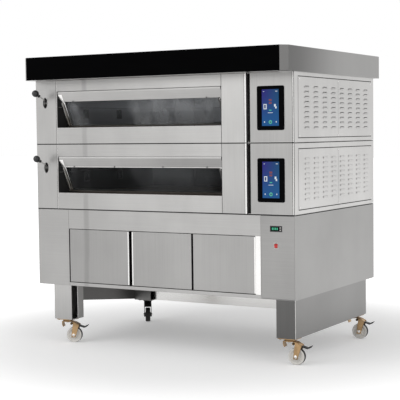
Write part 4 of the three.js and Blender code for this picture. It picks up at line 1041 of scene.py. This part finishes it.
class OVEN_OT_proofer(bpy.types.Operator):
    """Make the proofer's front sheets, and finish its cabinet and inner parts."""

    bl_idname = "oven.proofer"
    bl_label = "Proofer"

    def execute(self, context):
        """Lay the front sheets and finish the carried-over nodes."""
        scene = context.scene
        paint("proofer side", "proofer_cabinet", "proofer_control_cover")
        paint("element", "proofer_heater")
        paint("polished lit steel", "water_pan")
        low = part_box("proofer_cabinet")[0][2] / MM
        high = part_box("proofer_cabinet")[1][2] / MM
        sheet, edge = scene.oven_steel.sheet / MM, scene.oven_steel.edge / 2

        def plate(name, x0, x1, z0, z1, proud=sheet):
            return block(name, at(x0, -proud, z0), at(x1, 0, z1), edge)

        bands = joined(
            "proofer_front_frame",
            plate("left", -800, -589, low + 1, high - 2.5),
            plate("top", -588, 609, high - 106, high - 2.5),
            plate("foot", -588, 609, low + 1, low + 18))
        dress(bands, "proofer steel", "oven_body", "brushed_steel")
        # Painted highlight: a flat bright strip stands for the lit flange beside the right door.
        strip = plate("proofer_right_highlight_strip", 579.5, 609, low + 19, high - 107, sheet + 0.8)
        dress(strip, "polished lit steel", "oven_body", "polished_steel")
        cover = block("proofer_control_face", at(612, -sheet, low + 4), at(797.5, 0, high - 4))
        windows = [
            block("window", at(800 - 104 - 32, -9, low + 357 - 13), at(800 - 104 + 32, 9, low + 357 + 13)),
            block("window", at(800 - 104.5 - 10, -9, low + 272 - 13), at(800 - 104.5 + 10, 9, low + 272 + 13))]
        carve(cover, *windows)
        soften(cover, edge)
        dress(cover, "cover steel", "oven_body", "brushed_steel")
        return {"FINISHED"}


class OVEN_OT_proofer_doors(bpy.types.Operator):
    """Make the three proofer doors: bevelled pans with a finger flange on the opening side."""

    bl_idname = "oven.proofer_doors"
    bl_label = "Proofer Doors"

    def execute(self, context):
        """Fold each pan from a block, open its back and set its bright flange."""
        for place in ("left", "centre", "right"):
            name = f"proofer_door_{place}"
            low, high = (Vector(corner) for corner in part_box(name))
            low.z += 0.004
            high.z -= 0.004
            pan = block(f"{name}_pan", low, high)
            pick(pan, "faces", lambda centre, normal: normal.y > 0.9)
            bpy.ops.mesh.inset(thickness=0.020)
            pocket = high.y - low.y - 0.004
            bpy.ops.mesh.extrude_region_move(TRANSFORM_OT_translate={"value": (0, -pocket, 0)})
            done()
            soften(pan, 0.0016, 3, 40)
            dress(pan, "door steel", f"proofer_leaf_{place}", "brushed_steel", name)
            # Painted highlight: the flat bright flange stands for the lit face of the finger gap.
            flange_x = low.x if place == "centre" else high.x
            way = 1 if place == "centre" else -1
            ends = sorted((flange_x, flange_x + way * 0.007))
            flange = block(
                f"{name}_flange", (ends[0], low.y - 0.0008, low.z + 0.003),
                (ends[1], low.y + 0.0004, high.z - 0.003), 0.0005)
            dress(flange, "polished lit steel", f"proofer_leaf_{place}", "polished_steel")
        return {"FINISHED"}


class OVEN_OT_proofer_controls(bpy.types.Operator):
    """Make the proofer's thermostat and its red rocker switch."""

    bl_idname = "oven.proofer_controls"
    bl_label = "Proofer Controls"

    def execute(self, context):
        """Round the bezels, light the small display and finish the rocker."""
        low, high = (Vector(corner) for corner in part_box("thermostat"))
        body = block("thermostat_case", low, Vector((high.x, FRONT + 0.002, high.z)), 0.0012, 3)
        rear = block(
            "thermostat_rear", Vector((low.x + 0.0025, FRONT + 0.001, low.z + 0.0025)),
            Vector((high.x - 0.0025, high.y, high.z - 0.0025)), 0.001)
        case = joined("thermostat_body", body, rear)
        dress(case, "black plastic", "oven_body", "black_gloss", "thermostat")
        face = low.y
        window = block(
            "thermostat_window", (low.x + 0.006, face - 0.0004, low.z + 0.005),
            (high.x - 0.017, face + 0.0002, high.z - 0.005), 0.0002, 1)
        dress(window, "screen glass", "oven_body", "screen_glass")
        digits = [
            block("digit", (low.x + x, face - 0.0007, low.z + 0.010), (low.x + x + 0.005, face - 0.0003, high.z - 0.009), 0.0002, 1)
            for x in (0.012, 0.021, 0.030, 0.039)]
        dress(joined("thermostat_digits", *digits), "display green", "oven_body", "pale_plastic")
        keys = [
            turned("key", (high.x - 0.0095, face, low.z + z), "-Y", [(3, -0.2), (3, 0.6), (2, 1.1)], 16)
            for z in (0.009, 0.0205)]
        dress(joined("thermostat_keys", *keys), "pale plastic", "oven_body", "pale_plastic")
        paint("pale plastic", "rocker_housing")
        paint("red plastic", "rocker_button")
        return {"FINISHED"}


# ---------------------------------------------------------------- stand and casters


class OVEN_OT_stand(bpy.types.Operator):
    """Finish the stand, and lap its legs with front sheets and folded lips."""

    bl_idname = "oven.stand"
    bl_label = "Stand"

    def execute(self, context):
        """Finish the stand nodes and fold the sheets and lips on the legs."""
        scene = context.scene
        # Painted light and shade: the rear leg and side rail are darkened, the right frame is darker and the rear
        # panel lighter.
        paint("leg steel", "left_front_leg")
        paint("dull shaded steel", "left_rear_leg", "left_side_rail")
        paint("frame steel", "right_side_frame")
        paint("polished lit steel", "rear_panel")
        sheet, edge = scene.oven_steel.sheet / MM, scene.oven_steel.edge / 2
        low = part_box("left_front_leg")[0]
        foot, head = low[2] / MM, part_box("left_front_leg")[1][2] / MM
        left = block("left_leg_sheet", at(-697, -sheet, foot), at(-579, 0, head), edge)
        dress(left, "leg steel", "oven_body", "brushed_steel")
        # Painted highlight: bright strips for the lit lip and the lit corner, and painted shade on the right leg's
        # front.
        lip = block("left_leg_lip", at(-580.5, 53, foot + 5), at(-577.6, 59, head - 2), 0.0008)
        dress(lip, "polished lit steel", "oven_body", "polished_steel")
        right = block("right_leg_sheet", at(693.5, -sheet, foot), at(798.6, 0, head), edge)
        dress(right, "shade steel", "oven_body", "brushed_steel")
        corner = block("right_leg_corner", at(798.4, -sheet, foot), at(800, 2, head), 0.0006)
        dress(corner, "polished lit steel", "oven_body", "polished_steel")
        return {"FINISHED"}


class OVEN_OT_casters(bpy.types.Operator):
    """Make the casters: plates, races, folded forks, spoked wheels and brake pedals."""

    bl_idname = "oven.casters"
    bl_label = "Casters"

    turns = {"front_left": 22, "front_right": 8, "rear_left": -57, "rear_right": 5}

    def execute(self, context):
        """Draw each caster about its swivel axis, turn it and move it under its leg."""
        for name in CASTERS:
            low, high = (Vector(corner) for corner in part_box(f"{name}_caster_plate"))
            axis = Vector(((low.x + high.x) / 2, (low.y + high.y) / 2, high.z))
            turn = (0, 0, radians(self.turns[name]))
            # The rear left caster is drawn black throughout, fork, plate and wheel, without a brake pedal or fork
            # pivot.
            dark = name == "rear_left"
            metal = "black paint" if dark else "zinc"
            plate = moved(self.plate(name), axis)
            dress(plate, metal, "oven_body", "yellow_zinc", f"{name}_caster_plate")
            fork, tips = self.fork(name)
            dress(
                moved(fork, axis, turn), metal, f"{name}_swivel",
                "black_paint" if dark else "yellow_zinc", f"{name}_caster_fork")
            dress(moved(tips, axis, turn), "polished lit steel", f"{name}_swivel", "polished_steel")
            wheel, tread = self.wheel(name)
            dress(
                moved(wheel, axis, turn), "black plastic" if dark else "nylon", f"{name}_roller",
                "black_rubber" if dark else "white_nylon", f"{name}_wheel")
            dress(moved(tread, axis, turn), "black rubber", f"{name}_roller", "black_rubber")
            if not dark:
                pedal = moved(self.pedal(name), axis, turn)
                dress(
                    pedal, "black paint", f"{name}_pedal", "black_plastic",
                    f"{name}_brake_pedal")
        return {"FINISHED"}

    def plate(self, name):
        """The top plate with its rounded corners, bolts and ball race."""
        plate = block("plate", Vector((-50, -42.5, -4)) * MM, Vector((50, 42.5, 0)) * MM)
        pick(plate, "edges", lambda a, b: abs(a.z - b.z) > 0.001)
        bpy.ops.mesh.bevel(offset=0.009, segments=4, affect="EDGES")
        done()
        soften(plate, 0.0008, 2, 30)
        race = turned(
            "race", (0, 0, 0), "Z",
            [(22, -3.9), (26, -5), (27, -7.4), (25.6, -9), (27, -10.6), (26, -13), (20, -13.9)], 36)
        pin = turned("pin", (0, 0, 0), "Z", [(6, -13), (6, -18.5), (11, -18.6), (11, -21.8), (9, -22.6)], 24)
        bolts = [
            turned("bolt", Vector((x, y, -4)) * MM, "Z", [(5.4, -3.4), (6.2, -3), (6.2, 0.3)], 6)
            for x in (-38, 38) for y in (-31, 31)]
        return joined(f"{name}_top_plate", plate, race, pin, *bolts)

    def fork(self, name):
        """The fork: a crown with a curved brow, two trimmed sides, and the axle's nuts."""
        crown = folded(
            "crown", [(-30, -17), (-26, -16.3), (22, -16.3), (42, -21.5), (56, -29), (66.5, -40)],
            46, 4, 1.4)
        bore = turned("bore", (0, 0, 0), "Z", [(6.4, -24), (6.4, -10)], 24)
        carve(crown, bore)
        back = folded("back", [(-28, -17), (-28, -30), (-22, -46)], 46, 3.6, 1.2)
        sides = []
        for y0, y1 in ((-23, -19), (19, 23)):
            side = block("side", Vector((-30, y0, -105)) * MM, Vector((68, y1, -17)) * MM)
            self.trim(side, (-30, 0, -24), (-0.90, 0, -0.44))
            self.trim(side, (25, 0, -92), (-0.98, 0, 0.12))
            self.trim(side, (51, 0, -92), (0.96, 0, -0.28))
            self.trim(side, (30, 0, -16), (0.42, 0, 0.91))
            self.trim(side, (38, 0, -105), (0, 0, -1))
            sides.append(soften(side, 0.0012, 2, 30))
            centre = (y0 + y1) / 2
            sides.append(turned(
                "boss", Vector((38, centre - 3, -92)) * MM, "Y", [(10, 0), (12.4, 1.2), (12.4, 4.8), (10, 6)], 28))
        axle = turned("axle", Vector((38, -26, -92)) * MM, "Y", [(5, 0), (6, 1), (6, 51), (5, 52)], 20)
        pieces = [crown, back, *sides, axle]
        if name != "rear_left":
            pieces.append(turned(
                "pivot", Vector((22, -23.6, -29)) * MM, "Y", [(2, 0), (3, 0.8), (3, 46.4), (2, 47.2)], 16))
        fork = joined(f"{name}_folded_fork", *pieces)
        nuts = [
            turned("nut", Vector((38, y, -92)) * MM, "Y", [(7.4, 0), (8.6, 0.8), (8.6, 3.4), (7.4, 4.2)], 6)
            for y in (-27.2, 23)]
        return fork, joined(f"{name}_axle_nuts", *nuts)

    def trim(self, piece, point, normal):
        """Cut off what lies beyond a plane, and close the cut."""
        only(piece)
        bpy.ops.object.mode_set(mode="EDIT")
        bpy.ops.mesh.select_all(action="SELECT")
        bpy.ops.mesh.bisect(
            plane_co=Vector(point) * MM, plane_no=normal, use_fill=True, clear_outer=True)
        done()

    def wheel(self, name):
        """The moulded wheel with a recessed ribbed web, and its thin tread."""
        start = Vector((38, 0, -92)) * MM
        body = turned(
            "wheel", start, "Y",
            [(6.3, -18), (12.8, -18), (14, -17), (14.6, -10), (30, -10), (33.4, -14.6), (35, -15),
             (40.6, -15), (42.2, -13.6), (42.2, 13.6), (40.6, 15), (35, 15), (33.4, 14.6), (30, 10),
             (14.6, 10), (14, 17), (12.8, 18), (6.3, 18)], 48)
        ribs = []
        for index in range(8):
            rib = block("rib", Vector((13.5, -13.4, -1.3)) * MM, Vector((31.5, 13.4, 1.3)) * MM, 0.0005)
            ribs.append(moved(rib, start, (0, index * pi / 4, 0)))
        bore = turned("bore", start, "Y", [(6.3, -19), (6.3, 19)], 24)
        wheel = joined(f"{name}_moulded_wheel", carve(body, bore), *ribs)
        tread = turned(
            f"{name}_tread", start, "Y",
            [(41.4, -12.6), (43, -11.8), (43, 11.8), (41.4, 12.6)], 56)
        hole = turned("hole", start, "Y", [(41.0, -14), (41.0, 14)], 48)
        return wheel, carve(tread, hole)

    def pedal(self, name):
        """The brake pedal: a bent lever with a barrel, side ribs and a ribbed tip."""
        lever = folded("lever", [(20, -26), (34, -28.5), (95, -47), (119, -36)], 27, 3.6, 1.2)
        barrel = turned(
            "barrel", Vector((22, -13.8, -29)) * MM, "Y", [(6, 0), (7, 0.9), (7, 26.7), (6, 27.6)], 20)
        bore = turned("bore", Vector((22, -20, -29)) * MM, "Y", [(3.3, 0), (3.3, 40)], 16)
        ribs = [
            folded("rib", [(40, -33.4), (95, -50.2), (112, -42.6)], 3, 5, 0.8) for _ in range(2)]
        for rib, y in zip(ribs, (-10.5, 10.5)):
            moved(rib, Vector((0, y, 0)) * MM)
        grips = [
            block("grip", Vector((x, -12, z)) * MM, Vector((x + 2, 12, z + 2.4)) * MM, 0.0006)
            for x, z in ((101, -43.6), (106, -41.2), (111, -38.9))]
        return joined(f"{name}_bent_pedal", lever, carve(barrel, bore), *ribs, *grips)


# ---------------------------------------------------------------- back and left side


class OVEN_OT_rear_panels(bpy.types.Operator):
    """Make the lapped panels of the back and the left side, with vents and screws."""

    bl_idname = "oven.rear_panels"
    bl_label = "Rear Panels"

    def execute(self, context):
        """Lap a panel on each deck's back and left side, and press vents into the back."""
        scene = context.scene
        edge = scene.oven_steel.edge / 2
        depth = (CASE_HIGH.y - CASE_LOW.y) / MM
        for deck in DECKS:
            foot, top = deck_foot(deck) + 10, deck_top(deck) - 8
            back = block(
                f"{deck}_back_sheet", at(-786, depth - 0.2, foot), at(786, depth + 1.2, top), edge)
            side = block(
                f"{deck}_left_sheet", at(-801.2, 30, foot), at(-799.8, depth - 30, top), edge)
            screws = []
            for z in (foot + 12, top - 12):
                for x in range(-770, 771, 308):
                    screws.append(turned(
                        "screw", at(x, depth + 1, z), "Y", [(4, -0.3), (4, 1.0), (2.4, 1.9)], 14))
                for y in (44, 282, 520, 758, depth - 44):
                    screw = turned("screw", (0, 0, 0), "X", [(4, -0.3), (4, 1.0), (2.4, 1.9)], 14)
                    screws.append(moved(screw, at(-801, y, z), (0, 0, pi)))
            hood = block(
                "hood", at(-640, depth + 0.8, foot + 90), at(-580, depth + 4.6, foot + 97))
            pick(hood, "edges", lambda a, b: (
                a.y > FRONT + (depth + 3) * MM and b.y > FRONT + (depth + 3) * MM
                and abs(a.z - b.z) < 1e-5 and a.z > (foot + 95) * MM))
            bpy.ops.mesh.bevel(offset=0.0030, segments=2, affect="EDGES")
            done()
            only(hood)
            bpy.ops.object.shade_smooth_by_angle(angle=radians(50))
            repeated(hood, 7, (0, 0, 0.022))
            repeated(hood, 2, (0.110, 0, 0))
            repeated(hood, 2, (1.110, 0, 0))
            hood.name = hood.data.name = f"{deck}_back_vents"
            dress(back, "side steel", "oven_body", "brushed_steel")
            dress(side, "side steel", "oven_body", "brushed_steel")
            dress(hood, "side steel", "oven_body", "brushed_steel")
            dress(
                joined(f"{deck}_sheet_screws", *screws), "polished lit steel", "oven_body", "polished_steel")
        low, high = (corner[2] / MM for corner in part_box("proofer_cabinet"))
        back = block(
            "proofer_back_sheet", at(-786, depth - 0.2, low + 10), at(786, depth + 1.2, high - 8), edge)
        dress(back, "side steel", "oven_body", "brushed_steel")
        return {"FINISHED"}


# ---------------------------------------------------------------- stage


class OVEN_OT_stage(bpy.types.Operator):
    """Set the floor, the lamps, the surroundings and the camera."""

    bl_idname = "oven.stage"
    bl_label = "Stage"

    def execute(self, context):
        """Make the stage."""
        scene = context.scene
        settings = scene.oven_stage
        bpy.ops.mesh.primitive_plane_add(size=80, location=(0, 0, 0))
        floor = bpy.context.object
        floor.name = floor.data.name = "studio_floor"
        floor.data.materials.append(self.floor_finish())
        self.world(scene, settings.air)
        self.lamp("key_lamp", (-4.0, -7.0, 6.0), settings.key, 8.0)
        self.lamp("fill_lamp", (7.0, -3.0, 4.0), settings.fill, 6.0)
        self.camera(scene, settings)
        scene.view_settings.view_transform = "Standard"
        return {"FINISHED"}

    def floor_finish(self):
        """White floor that keeps the shadow and melts into the white behind it."""
        finish = Finish("studio floor")
        drift = finish.noise(0.8, 2.0)
        tone = finish.mix(drift, (0.80, 0.80, 0.80), (0.82, 0.82, 0.82))
        finish.set(Base_Color=tone, Roughness=0.9, Specular_IOR_Level=0.2)
        point = finish.add("ShaderNodeTexCoord", output=3)
        far = finish.add("ShaderNodeVectorMath", {"operation": "LENGTH"}, {0: point}, 1)
        reach = finish.span(far, 0.95, 2.3)
        glow = finish.add(
            "ShaderNodeEmission", {},
            {"Color": finish.mix(reach, (0.29, 0.29, 0.29), (0.80, 0.80, 0.80)), "Strength": 1.0})
        plain = Value(finish, finish.surface.outputs[0])
        both = finish.add("ShaderNodeAddShader", {}, {0: plain, 1: glow})
        chosen = finish.add("ShaderNodeMixShader", {}, {0: finish.seen(), 1: plain, 2: both})
        finish.put(finish.tree.nodes["Material Output"].inputs["Surface"], chosen)
        return finish.material

    def world(self, scene, strength):
        """Even light for surfaces, and white for the camera, reflections and glass."""
        scene.world = bpy.data.worlds.new("studio")
        sky = Finish("studio", scene.world)
        air = sky.add("ShaderNodeBackground", {}, {"Strength": strength})
        white = sky.add("ShaderNodeBackground", {}, {"Color": (1, 1, 1), "Strength": 1.0})
        chosen = sky.add("ShaderNodeMixShader", {}, {0: sky.seen(), 1: air, 2: white})
        sky.put(sky.tree.nodes["World Output"].inputs["Surface"], chosen)

    def lamp(self, name, place, power, size):
        """A soft square lamp that faces the oven's middle."""
        aim = (Vector((0, 0, 0.9)) - Vector(place)).to_track_quat("-Z", "Y")
        bpy.ops.object.light_add(type="AREA", location=place, rotation=aim.to_euler())
        lamp = bpy.context.object
        lamp.name = name
        lamp.data.energy = power
        lamp.data.size = size

    def camera(self, scene, settings):
        """The camera, from its place and angles."""
        yaw, pitch, roll = settings.yaw, settings.pitch, settings.roll
        ahead = Vector((-sin(yaw) * cos(pitch), cos(yaw) * cos(pitch), -sin(pitch)))
        level = Vector((cos(yaw), sin(yaw), 0))
        above = level.cross(ahead)
        right = cos(roll) * level + sin(roll) * above
        up = cos(roll) * above - sin(roll) * level
        turn = Matrix((right, up, -ahead)).transposed().to_euler()
        bpy.ops.object.camera_add(location=tuple(settings.place), rotation=turn)
        camera = bpy.context.object
        camera.name = "studio_camera"
        camera.data.lens = settings.lens
        camera.data.sensor_width = 36
        scene.camera = camera


# ---------------------------------------------------------------- add-on


STEPS = (
    OVEN_OT_canopy,
    OVEN_OT_deck_fronts,
    OVEN_OT_glass_doors,
    OVEN_OT_chambers,
    OVEN_OT_damper_levers,
    OVEN_OT_touch_screens,
    OVEN_OT_louvres,
    OVEN_OT_proofer,
    OVEN_OT_proofer_doors,
    OVEN_OT_proofer_controls,
    OVEN_OT_stand,
    OVEN_OT_casters,
    OVEN_OT_rear_panels,
    OVEN_OT_stage,
)


class OVEN_PT_steps(bpy.types.Panel):
    """The oven's steps and settings in the sidebar."""

    bl_idname = "OVEN_PT_steps"
    bl_label = "Deck Oven"
    bl_space_type = "VIEW_3D"
    bl_region_type = "UI"
    bl_category = "Deck Oven"

    def draw(self, context):
        """List the steps and the settings."""
        for step in STEPS:
            self.layout.operator(step.bl_idname)
        for name, group in SETTINGS:
            box = self.layout.box()
            for key in group.__annotations__:
                box.prop(getattr(context.scene, name), key)


def register():
    """Register the settings, the steps and the panel."""
    for name, group in SETTINGS:
        bpy.utils.register_class(group)
        setattr(bpy.types.Scene, name, bpy.props.PointerProperty(type=group))
    for step in STEPS:
        bpy.utils.register_class(step)
    bpy.utils.register_class(OVEN_PT_steps)


def unregister():
    """Take everything back out."""
    bpy.utils.unregister_class(OVEN_PT_steps)
    for step in reversed(STEPS):
        bpy.utils.unregister_class(step)
    for name, group in reversed(SETTINGS):
        delattr(bpy.types.Scene, name)
        bpy.utils.unregister_class(group)


def main():
    """Make the whole oven in order."""
    register()
    bpy.ops.object.select_all(action="DESELECT")
    for step in STEPS:
        getattr(bpy.ops.oven, step.bl_idname.split(".")[1])()


if __name__ == "__main__":
    main()
